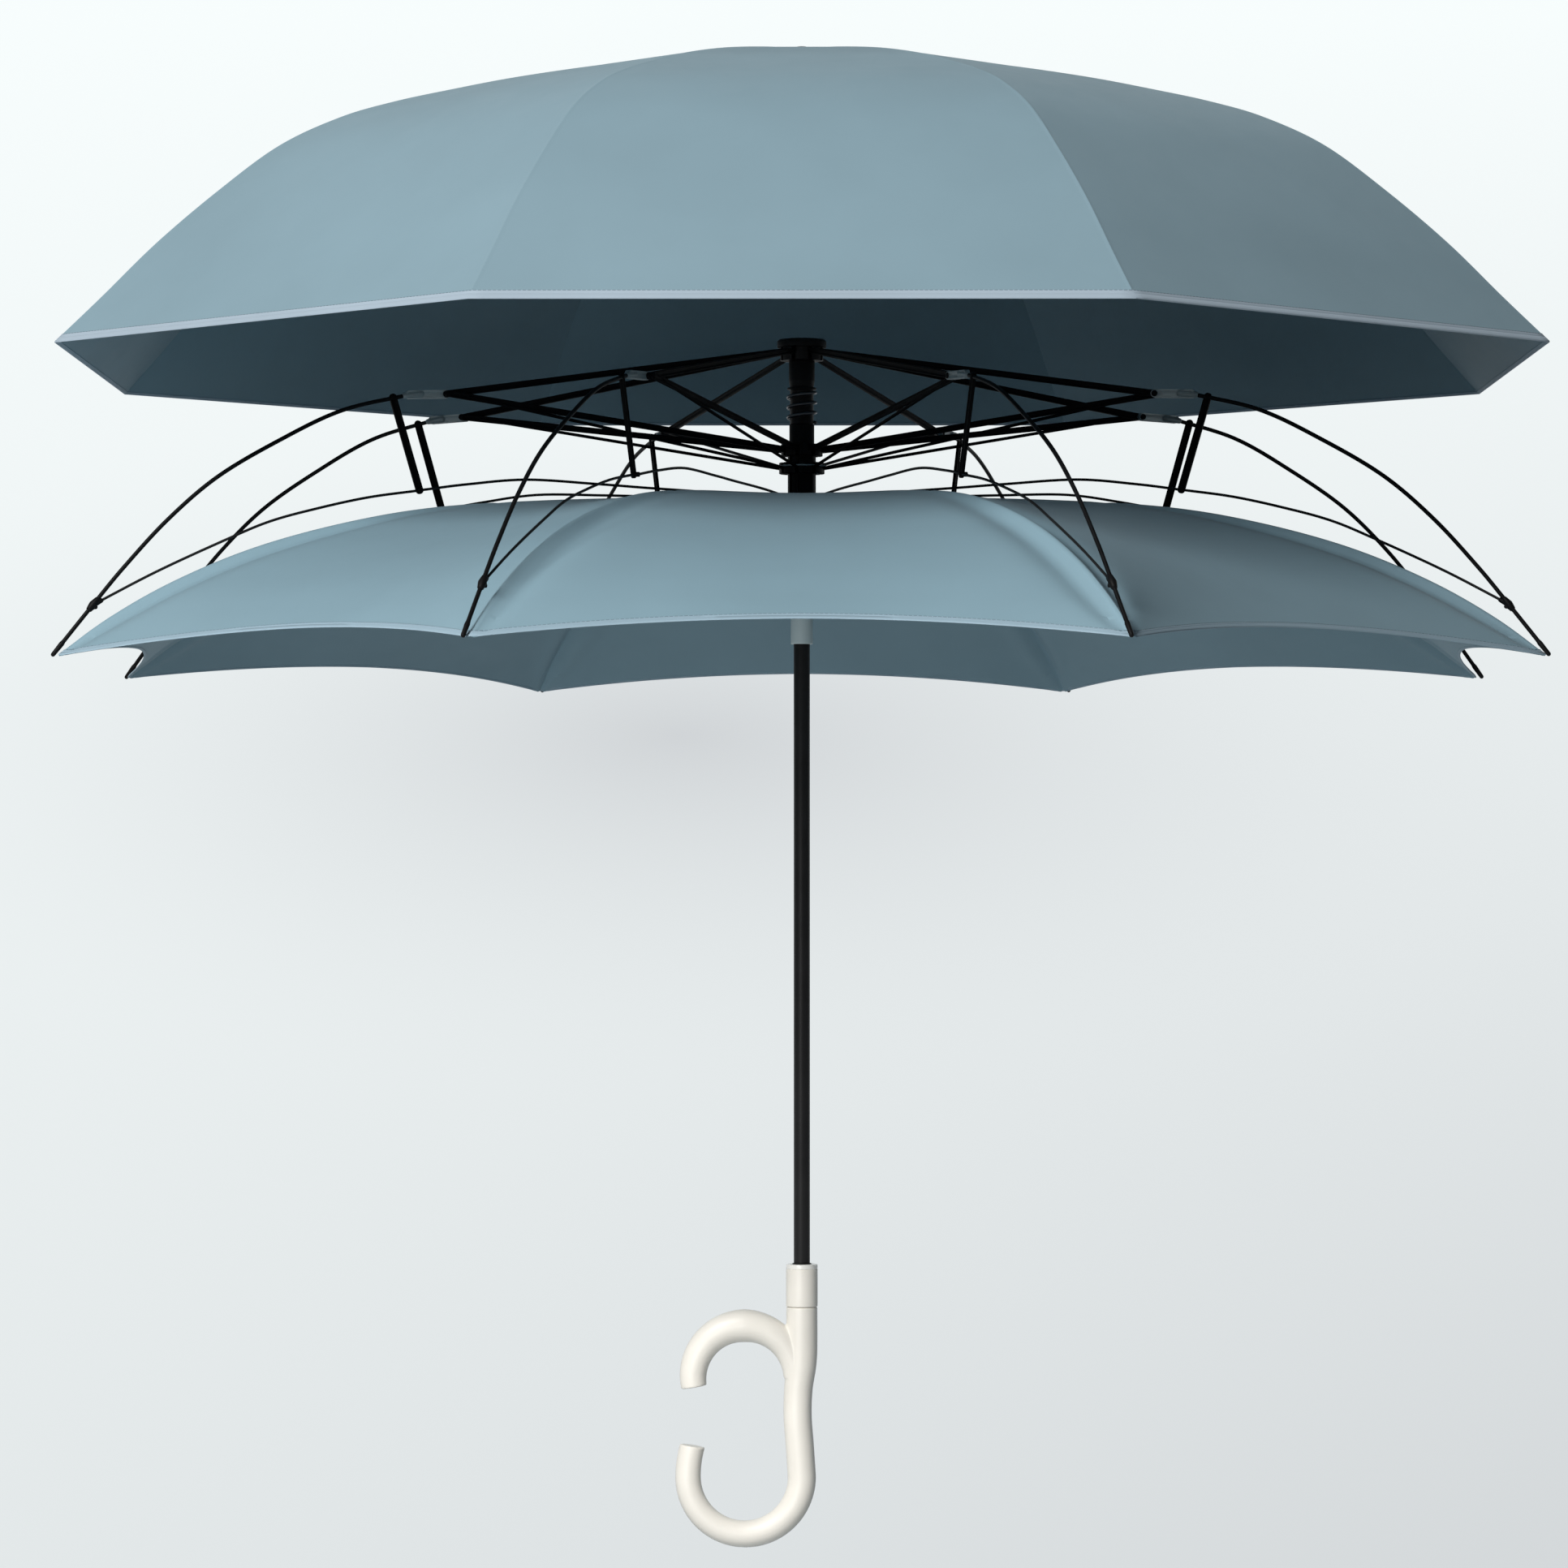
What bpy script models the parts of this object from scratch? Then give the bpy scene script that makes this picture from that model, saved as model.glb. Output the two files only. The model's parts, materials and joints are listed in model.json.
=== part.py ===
"""A reverse-folding umbrella with two canopies and a C-shaped handle, its outer canopy lifted off."""

import math

import bmesh
import bpy
from mathutils import Matrix, Vector

# Overall sizes. The origin is the middle of the grip, on the shaft's axis, and +Z is up
RIB_COUNT = 8
RIM_RADIUS = 0.525
FIT_GAP = 0.0003
SLIDE_GAP = 0.0006
OVERRUN = 0.002
MERGE_DISTANCE = 1e-7
SMOOTH_DEG = 40

# Heights of the pivots
CROWN_PIVOT_Z = 0.7175
ELBOW_DROP = 0.0367
STRUT_RING_DROP = 0.0672
FLANGE_DROP = 0.0795
STAY_RING_DROP = 0.1018
RIB_TIP_DROP = 0.2147
CANOPY_LIFT = 0.193
CANOPY_APEX_RISE = 0.2064

# Pivot circles around the shaft
PIVOT_RADIUS = 0.0125
FLANGE_PIVOT_RADIUS = 0.0145
ELBOW_RADIUS = 0.2559

# Shaft and the catch sprung in it
SHAFT_RADIUS = 0.0055
SHAFT_WALL = 0.0009
CATCH_THICKNESS = 0.0018
CATCH_PROUD = 0.0014
CATCH_INSET = 0.0042
CATCH_HEIGHT = 0.014
CATCH_RISE = 0.0067
CATCH_LIP = 0.002

# Crown
CROWN_RADIUS = 0.0167
CROWN_CAP_THICKNESS = 0.0055
NOTCH_RING_RADIUS = 0.0146
NOTCH_RING_HEIGHT = 0.009
PIN_RADIUS = 0.001

# Sleeve under the crown, with the spring that cushions the runner
SLEEVE_RADIUS = 0.008
SHOULDER_RADIUS = 0.0099
SHOULDER_THICKNESS = 0.0014
SPRING_WIRE_RADIUS = 0.0007
SPRING_PITCH = 0.0072
SPRING_TURNS = 3
SPRING_POINTS_PER_TURN = 10

# Runner
RUNNER_NECK_RADIUS = 0.0085
RUNNER_RADIUS = 0.0096
RUNNER_TOP_RISE = 0.0175
STRUT_RING_RADIUS = 0.0142
STRUT_RING_HEIGHT = 0.008
FLANGE_RADIUS = 0.0155
FLANGE_HEIGHT = 0.0075
STAY_RING_RADIUS = 0.0142
STAY_RING_HEIGHT = 0.004
RUNNER_LENGTH = 0.1225
RUNNER_GROOVE_RADIUS = 0.0082
LINER_RADIUS = 0.0075
LINER_LENGTH = 0.027
LINER_NECK_RADIUS = 0.007
LINER_NECK_LENGTH = 0.008

# Frame members. Each kind lies in its own slice beside the rib's plane, so that they pass each other
ARM_HEIGHT = 0.0048
ARM_THICKNESS = 0.0024
STRUT_HEIGHT = 0.0044
STRUT_THICKNESS = 0.002
THIN_STRUT_RADIUS = 0.0011
THIN_STRUT_REACH_SHARE = 0.94
MEMBER_GAP = 0.0004
ELBOW_PIN_RADIUS = 0.0012
ELBOW_PIN_PLAY = 0.00035
RIB_ROD_RADIUS = 0.0014
RIB_LUG_HEIGHT = 0.0052
LINK_HEIGHT = 0.005
LINK_THICKNESS = 0.0022
STAY_RADIUS = 0.0009
CLIP_RADIUS = 0.0024
CLIP_LENGTH = 0.009
TIP_RADIUS = 0.002
TIP_LENGTH = 0.009

# Canopies
CLOTH_THICKNESS = 0.0008
STAY_TO_CLOTH = 0.0003
CAP_RADIUS = 0.0055
CAP_HEIGHT = 0.0022
CAP_TOP_SHARE = 0.7
CAP_STEM_RADIUS = 0.0033
WASHER_RADIUS = 0.009
WASHER_THICKNESS = 0.0022
GORE_STEPS = 4
TOP_PANEL_STEPS = 5
SKIRT_PANEL_STEPS = 8

# Handle
COLLAR_RADIUS = 0.01075
COLLAR_LENGTH = 0.0289
COLLAR_BOTTOM_Z = 0.0671
COLLAR_FLOOR = 0.0042
SPIGOT_RADIUS = 0.005
SPIGOT_LENGTH = 0.015
GRIP_RADIUS = 0.0101
GRIP_TOP_Z = 0.0668
GRIP_WAIST_SHARE = 0.93
LOWER_HOOK_RADIUS = 0.0387
LOWER_HOOK_CENTRE_Z = -0.0487
LOWER_HOOK_TIP_DEG = 151
LOWER_HOOK_TIP_RADIUS = 0.0085
UPPER_HOOK_RADIUS = 0.035
UPPER_HOOK_OFFSET = 0.039
UPPER_HOOK_CENTRE_Z = 0.019
UPPER_HOOK_TIP_DEG = 191
UPPER_HOOK_TIP_RADIUS = 0.0088
UPPER_HOOK_CROWN_RADIUS = 0.01125
UPPER_HOOK_ROOT_RADIUS = 0.0085
HOOK_STEP_DEG = 12

# Outer canopy along a rib: distance out and drop under the apex, as shares of the rim radius
OUTER_PROFILE_SHARES = (
    (0.0, 0.0), (0.03, 0.0014), (0.12, 0.0108), (0.26, 0.0305), (0.39, 0.0545), (0.4875, 0.077),
    (0.56, 0.0955), (0.63, 0.1185), (0.71, 0.158), (0.79, 0.2185),
    (0.87, 0.2875), (0.94, 0.357), (1.0, 0.415),
)
# Rib from the elbow to its tip: distance out and drop, as shares of the elbow-to-tip distances
RIB_SHARES = ((0.27, 0.0737), (0.434, 0.1947), (0.588, 0.334), (0.713, 0.4956), (0.822, 0.6726), (0.9, 0.814))
RIB_START_SHARE = (0.0946, 0.0059)
LINK_TOP_SHARE = (0.137, 0.018)
CLIP_SHARE = RIB_SHARES[-1]
# Lower end of the link, and the stay from the runner through it to the clip, as shares of the rim radius
LINK_FOOT_SHARE = (0.522, 0.193)
INNER_STAY_SHARES = (
    (0.095, 0.188), (0.146, 0.185), (0.22, 0.182), (0.285, 0.179), (0.38, 0.176), (0.46, 0.184),
)
OUTER_STAY_SHARES = ((0.59, 0.2035), (0.657, 0.219), (0.72, 0.237), (0.779, 0.262), (0.867, 0.303))
# Inner canopy under a rib and in the middle of a gore: distance out and drop under the crown pivots
INNER_RIDGE_SHARES = (
    (0.10, 0.1925), (0.20, 0.1945), (0.35, 0.2015), (0.50, 0.214),
    (0.62, 0.236), (0.74, 0.270), (0.845, 0.314), (0.93, 0.362), (1.0, 0.413),
)
INNER_MIDDLE_SHARES = (
    (0.0924, 0.193), (0.185, 0.196), (0.323, 0.206), (0.462, 0.224),
    (0.568, 0.250), (0.672, 0.286), (0.76, 0.326), (0.82, 0.360), (0.865, 0.388),
)
# Grip's stem from its top down to the lower hook: offset in grip radii, and height as a share of the stem
STEM_SHARES = ((0.0, 1.0), (-0.05, 0.86), (-0.14, 0.68), (-0.3, 0.4), (-0.14, 0.2))

ELBOW_Z = CROWN_PIVOT_Z - ELBOW_DROP
STRUT_RING_Z = CROWN_PIVOT_Z - STRUT_RING_DROP
FLANGE_Z = CROWN_PIVOT_Z - FLANGE_DROP
STAY_RING_Z = CROWN_PIVOT_Z - STAY_RING_DROP
RIB_TIP_Z = CROWN_PIVOT_Z - RIB_TIP_DROP
CANOPY_APEX_Z = CROWN_PIVOT_Z + CANOPY_APEX_RISE
GRIP_BORE_RADIUS = SPIGOT_RADIUS + FIT_GAP
SHAFT_BORE_RADIUS = SHAFT_RADIUS + FIT_GAP
SHAFT_BOTTOM_Z = COLLAR_BOTTOM_Z + COLLAR_FLOOR + FIT_GAP
CROWN_CAP_Z = CROWN_PIVOT_Z + ARM_HEIGHT / 2 + SLIDE_GAP
CROWN_BOTTOM_Z = CROWN_CAP_Z - NOTCH_RING_HEIGHT
SHAFT_TOP_Z = CROWN_CAP_Z
RUNNER_TOP_Z = STRUT_RING_Z + RUNNER_TOP_RISE
RUNNER_BOTTOM_Z = RUNNER_TOP_Z - RUNNER_LENGTH
CATCH_FOOT_Z = RUNNER_BOTTOM_Z + LINER_NECK_LENGTH + CATCH_RISE
CATCH_TOP_Z = CATCH_FOOT_Z + CATCH_HEIGHT
STRUT_SIDE = ARM_THICKNESS / 2 + MEMBER_GAP + STRUT_THICKNESS / 2
RIB_SIDE = -(ARM_THICKNESS / 2 + MEMBER_GAP + RIB_ROD_RADIUS)
HALF_GORE = math.pi / RIB_COUNT
RIB_TURNS = [HALF_GORE + number * math.tau / RIB_COUNT for number in range(RIB_COUNT)]


def material(name, colour, roughness, metallic=0.0):
    made = bpy.data.materials.new(name)
    made.use_nodes = True
    shader = made.node_tree.nodes["Principled BSDF"]
    shader.inputs["Base Color"].default_value = (*colour, 1)
    shader.inputs["Roughness"].default_value = roughness
    shader.inputs["Metallic"].default_value = metallic
    made.diffuse_color = (*colour, 1)
    return made


def placed(name, mesh, finish, at=(0, 0, 0), turn=0.0):
    """A named sub-part at a point of a rib's plane, turned about the shaft with that plane."""
    piece = bpy.data.objects.new(name, mesh)
    bpy.context.scene.collection.objects.link(piece)
    piece.location = Matrix.Rotation(turn, 3, "Z") @ Vector(at)
    piece.rotation_euler.z = turn
    if not mesh.materials:
        mesh.materials.append(finish)
    return piece


def finished(bm):
    """The mesh of this bmesh, with its faces pointing out and its round sides shaded smooth."""
    bmesh.ops.remove_doubles(bm, verts=bm.verts, dist=MERGE_DISTANCE)
    bmesh.ops.recalc_face_normals(bm, faces=bm.faces)
    mesh = bpy.data.meshes.new("shape")
    bm.to_mesh(mesh)
    bm.free()
    mesh.shade_smooth()
    mesh.set_sharp_from_angle(angle=math.radians(SMOOTH_DEG))
    return mesh


def turned(outline, steps=24):
    """A closed outline of (radius, height) points turned about the shaft's axis."""
    bm = bmesh.new()
    corners = [bm.verts.new((radius, 0, height)) for radius, height in outline]
    for first, second in zip(corners, corners[1:] + corners[:1]):
        if first.co.x or second.co.x:
            bm.edges.new((first, second))
    bmesh.ops.spin(bm, geom=bm.verts[:] + bm.edges[:], axis=(0, 0, 1), cent=(0, 0, 0),
                   angle=math.tau, steps=steps, use_merge=True)
    return finished(bm)


def block(low, high):
    """A box between two corners."""
    low, high = Vector(low), Vector(high)
    bm = bmesh.new()
    bmesh.ops.create_cube(bm, size=1)
    bmesh.ops.scale(bm, vec=high - low, verts=bm.verts)
    bmesh.ops.translate(bm, vec=(low + high) / 2, verts=bm.verts)
    return finished(bm)


def flat_bar(start, end, height, thickness, side=0.0, segments=12):
    """A bar with round ends about two points (x, z), as thick as given and centred beside the rib's plane."""
    run = Vector((end[0] - start[0], 0, end[1] - start[1]))
    bm = bmesh.new()
    bmesh.ops.create_circle(bm, cap_ends=True, segments=segments, radius=height / 2)
    bmesh.ops.rotate(bm, matrix=Matrix.Rotation(math.pi / segments, 3, "Z"), verts=bm.verts)
    bmesh.ops.translate(bm, vec=(run.length, 0, 0), verts=[corner for corner in bm.verts if corner.co.x > 0])
    bmesh.ops.rotate(bm, matrix=Matrix.Rotation(math.pi / 2, 3, "X"), verts=bm.verts)
    grown = bmesh.ops.extrude_face_region(bm, geom=bm.faces[:])["geom"]
    far = [item for item in grown if isinstance(item, bmesh.types.BMVert)]
    bmesh.ops.translate(bm, vec=(0, thickness, 0), verts=far)
    bmesh.ops.rotate(bm, matrix=Matrix.Rotation(-math.atan2(run.z, run.x), 3, "Y"), verts=bm.verts)
    bmesh.ops.translate(bm, vec=(start[0], side - thickness / 2, start[1]), verts=bm.verts)
    return finished(bm)


def cross_pin(at, radius, reach_from, reach_to, segments=12):
    """A round pin across the rib's plane at (x, z)."""
    middle = (reach_from + reach_to) / 2
    return flat_bar(at, at, 2 * radius, reach_to - reach_from, middle, segments)


def smooth_line(points, steps):
    """A smooth curve through these points, with this many steps between each two."""
    points = [Vector(point) for point in points]
    ends = [2 * points[0] - points[1]] + points + [2 * points[-1] - points[-2]]
    line = []
    for before, start, end, after in zip(ends, ends[1:], ends[2:], ends[3:]):
        for step in range(steps):
            share = step / steps
            line.append(0.5 * (2 * start + (end - before) * share
                               + (2 * before - 5 * start + 4 * end - after) * share ** 2
                               + (3 * start - before - 3 * end + after) * share ** 3))
    return line + [points[-1]]


def tube(points, radii, resolution=1):
    """A solid round tube along these points, with one radius or a radius for each point."""
    radii = radii if isinstance(radii, list) else [radii] * len(points)
    curve = bpy.data.curves.new("line", "CURVE")
    curve.dimensions = "3D"
    curve.bevel_depth = radii[0]
    curve.bevel_resolution = resolution
    curve.use_fill_caps = True
    spline = curve.splines.new("POLY")
    spline.points.add(len(points) - 1)
    for target, point, radius in zip(spline.points, points, radii):
        target.co = (*point, 1)
        target.radius = radius / radii[0]
    helper = bpy.data.objects.new("line", curve)
    bpy.context.scene.collection.objects.link(helper)
    mesh = evaluated(helper)
    bm = bmesh.new()
    bm.from_mesh(mesh)
    return finished(bm)


def evaluated(helper):
    """The mesh of a helper object with its modifiers applied. The helper is removed."""
    graph = bpy.context.evaluated_depsgraph_get()
    mesh = bpy.data.meshes.new_from_object(helper.evaluated_get(graph))
    bpy.data.objects.remove(helper)
    return mesh


def combined(mesh, others, operation):
    """The mesh joined with the others, or with the others cut from it."""
    base = bpy.data.objects.new("base", mesh)
    bpy.context.scene.collection.objects.link(base)
    tools = []
    for other in others:
        tool = bpy.data.objects.new("tool", other)
        bpy.context.scene.collection.objects.link(tool)
        tools.append(tool)
        step = base.modifiers.new("step", "BOOLEAN")
        step.operation = operation
        step.solver = "EXACT"
        step.object = tool
    result = evaluated(base)
    for tool in tools:
        bpy.data.objects.remove(tool)
    result.shade_smooth()
    result.set_sharp_from_angle(angle=math.radians(SMOOTH_DEG))
    return result


def joined(mesh, *others):
    return combined(mesh, others, "UNION")


def cut(mesh, others):
    return combined(mesh, others, "DIFFERENCE")


def turned_about(mesh, turn):
    copy = mesh.copy()
    copy.transform(Matrix.Rotation(turn, 4, "Z"))
    return copy


def moved(mesh, origin):
    """The mesh with this point (x, z) of the rib's plane as its origin."""
    mesh.transform(Matrix.Translation((-origin[0], 0, -origin[1])))
    return mesh


def from_crown(share):
    """A point (x, z) at shares of the rim radius: distance out, and drop under the crown pivots."""
    return share[0] * RIM_RADIUS, CROWN_PIVOT_Z - share[1] * RIM_RADIUS


def along_rib(share):
    """A point (x, z) at shares of the way out and down from the elbow to the rib's tip."""
    out = ELBOW_RADIUS + share[0] * (RIM_RADIUS - ELBOW_RADIUS)
    return out, ELBOW_Z - share[1] * (ELBOW_Z - RIB_TIP_Z)


def beside(points, side):
    """Points (x, z) as points in space, this far beside the rib's plane."""
    return [(x, side, z) for x, z in points]


def between(first, second, share):
    return tuple(a + (b - a) * share for a, b in zip(first, second))


def back_from(end, other, distance):
    """The point this far from the end towards the other point, both (x, z)."""
    step = Vector(other) - Vector(end)
    return tuple(Vector(end) + step.normalized() * distance)


ELBOW = (ELBOW_RADIUS, ELBOW_Z)
CROWN_PIVOT = (PIVOT_RADIUS, CROWN_PIVOT_Z)
STRUT_FOOT = (PIVOT_RADIUS, STRUT_RING_Z)
THIN_STRUT_FOOT = (FLANGE_PIVOT_RADIUS, FLANGE_Z)
STAY_FOOT = (PIVOT_RADIUS, STAY_RING_Z)
LINK_FOOT = from_crown(LINK_FOOT_SHARE)


def build_shaft(black):
    outline = ((SHAFT_RADIUS - SHAFT_WALL, SHAFT_BOTTOM_Z), (SHAFT_RADIUS, SHAFT_BOTTOM_Z),
               (SHAFT_RADIUS, SHAFT_TOP_Z), (SHAFT_RADIUS - SHAFT_WALL, SHAFT_TOP_Z))
    half = CATCH_THICKNESS / 2 + FIT_GAP
    slot = block((0, -half, CATCH_FOOT_Z - FIT_GAP), (SHAFT_RADIUS + OVERRUN, half, CATCH_TOP_Z + FIT_GAP))
    placed("shaft", cut(turned(outline), [slot]), black)


def build_catch(steel):
    reach = SHAFT_RADIUS + CATCH_PROUD
    inner = SHAFT_RADIUS - CATCH_INSET
    foot = SHAFT_RADIUS - FIT_GAP
    bm = bmesh.new()
    outline = ((inner, CATCH_TOP_Z), (reach, CATCH_TOP_Z), (reach, CATCH_TOP_Z - CATCH_LIP),
               (foot, CATCH_FOOT_Z), (inner, CATCH_FOOT_Z))
    face = bm.faces.new([bm.verts.new((x, -CATCH_THICKNESS / 2, z)) for x, z in outline])
    grown = bmesh.ops.extrude_face_region(bm, geom=[face])["geom"]
    far = [item for item in grown if isinstance(item, bmesh.types.BMVert)]
    bmesh.ops.translate(bm, vec=(0, CATCH_THICKNESS, 0), verts=far)
    placed("top_catch", finished(bm), steel)


def build_crown(black):
    outline = ((SHAFT_BORE_RADIUS, CROWN_BOTTOM_Z), (NOTCH_RING_RADIUS, CROWN_BOTTOM_Z),
               (NOTCH_RING_RADIUS, CROWN_CAP_Z), (CROWN_RADIUS, CROWN_CAP_Z),
               (CROWN_RADIUS, CROWN_CAP_Z + CROWN_CAP_THICKNESS), (0, CROWN_CAP_Z + CROWN_CAP_THICKNESS),
               (0, CROWN_CAP_Z + FIT_GAP), (SHAFT_BORE_RADIUS, CROWN_CAP_Z + FIT_GAP))
    half = ARM_THICKNESS / 2 + FIT_GAP
    inner = PIVOT_RADIUS - ARM_HEIGHT / 2 - SLIDE_GAP
    slot = block((inner, -half, CROWN_BOTTOM_Z - OVERRUN), (NOTCH_RING_RADIUS + OVERRUN, half, CROWN_CAP_Z))
    pin = cross_pin(CROWN_PIVOT, PIN_RADIUS, -half - PIN_RADIUS, half + PIN_RADIUS, 8)
    hub = cut(turned(outline), [turned_about(slot, turn) for turn in RIB_TURNS])
    placed("crown", joined(hub, *[turned_about(pin, turn) for turn in RIB_TURNS]), black)


def build_sleeve_and_spring(black, steel):
    top = CROWN_BOTTOM_Z - FIT_GAP
    spring_low = RUNNER_TOP_Z + FIT_GAP + SPRING_WIRE_RADIUS
    spring_high = spring_low + SPRING_TURNS * SPRING_PITCH
    shoulder = spring_high + SPRING_WIRE_RADIUS + FIT_GAP
    bottom = RUNNER_TOP_Z + FIT_GAP
    placed("crown_sleeve", turned((
        (SHAFT_BORE_RADIUS, bottom), (SLEEVE_RADIUS, bottom), (SLEEVE_RADIUS, shoulder),
        (SHOULDER_RADIUS, shoulder), (SHOULDER_RADIUS, shoulder + SHOULDER_THICKNESS),
        (SLEEVE_RADIUS, shoulder + SHOULDER_THICKNESS), (SLEEVE_RADIUS, top), (SHAFT_BORE_RADIUS, top),
    )), black)
    clear_radius = SLEEVE_RADIUS + FIT_GAP + SPRING_WIRE_RADIUS
    coil_radius = clear_radius / math.cos(math.pi / SPRING_POINTS_PER_TURN)
    count = SPRING_TURNS * SPRING_POINTS_PER_TURN
    line = []
    for number in range(count + 1):
        turn = math.tau * number / SPRING_POINTS_PER_TURN
        rise = SPRING_PITCH * number / SPRING_POINTS_PER_TURN
        line.append(Vector((coil_radius * math.cos(turn), coil_radius * math.sin(turn), spring_low + rise)))
    placed("bumper_spring", tube(line, SPRING_WIRE_RADIUS), steel)
    half_turn = SPRING_POINTS_PER_TURN // 2
    least = min((line[first] - line[second]).length
                for first in range(len(line)) for second in range(first + half_turn, len(line)))
    print(f"bumper_spring: least gap to itself {1000 * (least - 2 * SPRING_WIRE_RADIUS):.2f} mm")


def build_runner(black, grey):
    half_strut_ring = STRUT_RING_HEIGHT / 2
    half_flange = FLANGE_HEIGHT / 2
    half_stay_ring = STAY_RING_HEIGHT / 2
    stay_ring = STAY_RING_Z + STAY_TO_CLOTH + STAY_RADIUS
    counterbore = LINER_NECK_RADIUS + FIT_GAP
    outline = (
        (SHAFT_BORE_RADIUS, RUNNER_TOP_Z), (RUNNER_NECK_RADIUS, RUNNER_TOP_Z),
        (RUNNER_NECK_RADIUS, STRUT_RING_Z + half_strut_ring),
        (STRUT_RING_RADIUS, STRUT_RING_Z + half_strut_ring),
        (STRUT_RING_RADIUS, STRUT_RING_Z - half_strut_ring), (RUNNER_RADIUS, STRUT_RING_Z - half_strut_ring),
        (RUNNER_RADIUS, FLANGE_Z + half_flange), (FLANGE_RADIUS, FLANGE_Z + half_flange),
        (FLANGE_RADIUS, FLANGE_Z - half_flange), (RUNNER_RADIUS, FLANGE_Z - half_flange),
        (RUNNER_RADIUS, stay_ring + half_stay_ring), (STAY_RING_RADIUS, stay_ring + half_stay_ring),
        (STAY_RING_RADIUS, stay_ring - half_stay_ring), (RUNNER_RADIUS, stay_ring - half_stay_ring),
        (RUNNER_RADIUS, RUNNER_BOTTOM_Z), (counterbore, RUNNER_BOTTOM_Z),
        (counterbore, RUNNER_BOTTOM_Z + LINER_NECK_LENGTH + FIT_GAP),
        (SHAFT_BORE_RADIUS, RUNNER_BOTTOM_Z + LINER_NECK_LENGTH + FIT_GAP),
    )
    far = FLANGE_RADIUS + OVERRUN
    half = STRUT_THICKNESS / 2 + MEMBER_GAP
    groove = block((RUNNER_GROOVE_RADIUS, STRUT_SIDE - half, RUNNER_BOTTOM_Z - OVERRUN),
                   (far, STRUT_SIDE + half, RUNNER_TOP_Z + OVERRUN))
    stay_half = STAY_RADIUS + MEMBER_GAP
    slot_floor = PIVOT_RADIUS - STAY_RADIUS - FIT_GAP
    stay_slot = block((slot_floor, -stay_half, stay_ring - half_stay_ring - OVERRUN),
                      (far, STRUT_SIDE, stay_ring + half_stay_ring + OVERRUN))
    catch_half = CATCH_THICKNESS / 2 + FIT_GAP
    keyway = block((0, -catch_half, CATCH_FOOT_Z - SLIDE_GAP),
                   (SHAFT_RADIUS + CATCH_PROUD + FIT_GAP, catch_half, RUNNER_TOP_Z + OVERRUN))
    cutters = [turned_about(groove, turn) for turn in RIB_TURNS]
    cutters += [turned_about(stay_slot, turn) for turn in RIB_TURNS]
    placed("runner", cut(turned(outline, 32), cutters + [keyway]), black)
    bottom = RUNNER_BOTTOM_Z - FIT_GAP
    placed("runner_liner", turned((
        (SHAFT_BORE_RADIUS, bottom - LINER_LENGTH), (LINER_RADIUS, bottom - LINER_LENGTH),
        (LINER_RADIUS, bottom), (LINER_NECK_RADIUS, bottom),
        (LINER_NECK_RADIUS, RUNNER_BOTTOM_Z + LINER_NECK_LENGTH),
        (SHAFT_BORE_RADIUS, RUNNER_BOTTOM_Z + LINER_NECK_LENGTH),
    )), grey)


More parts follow.
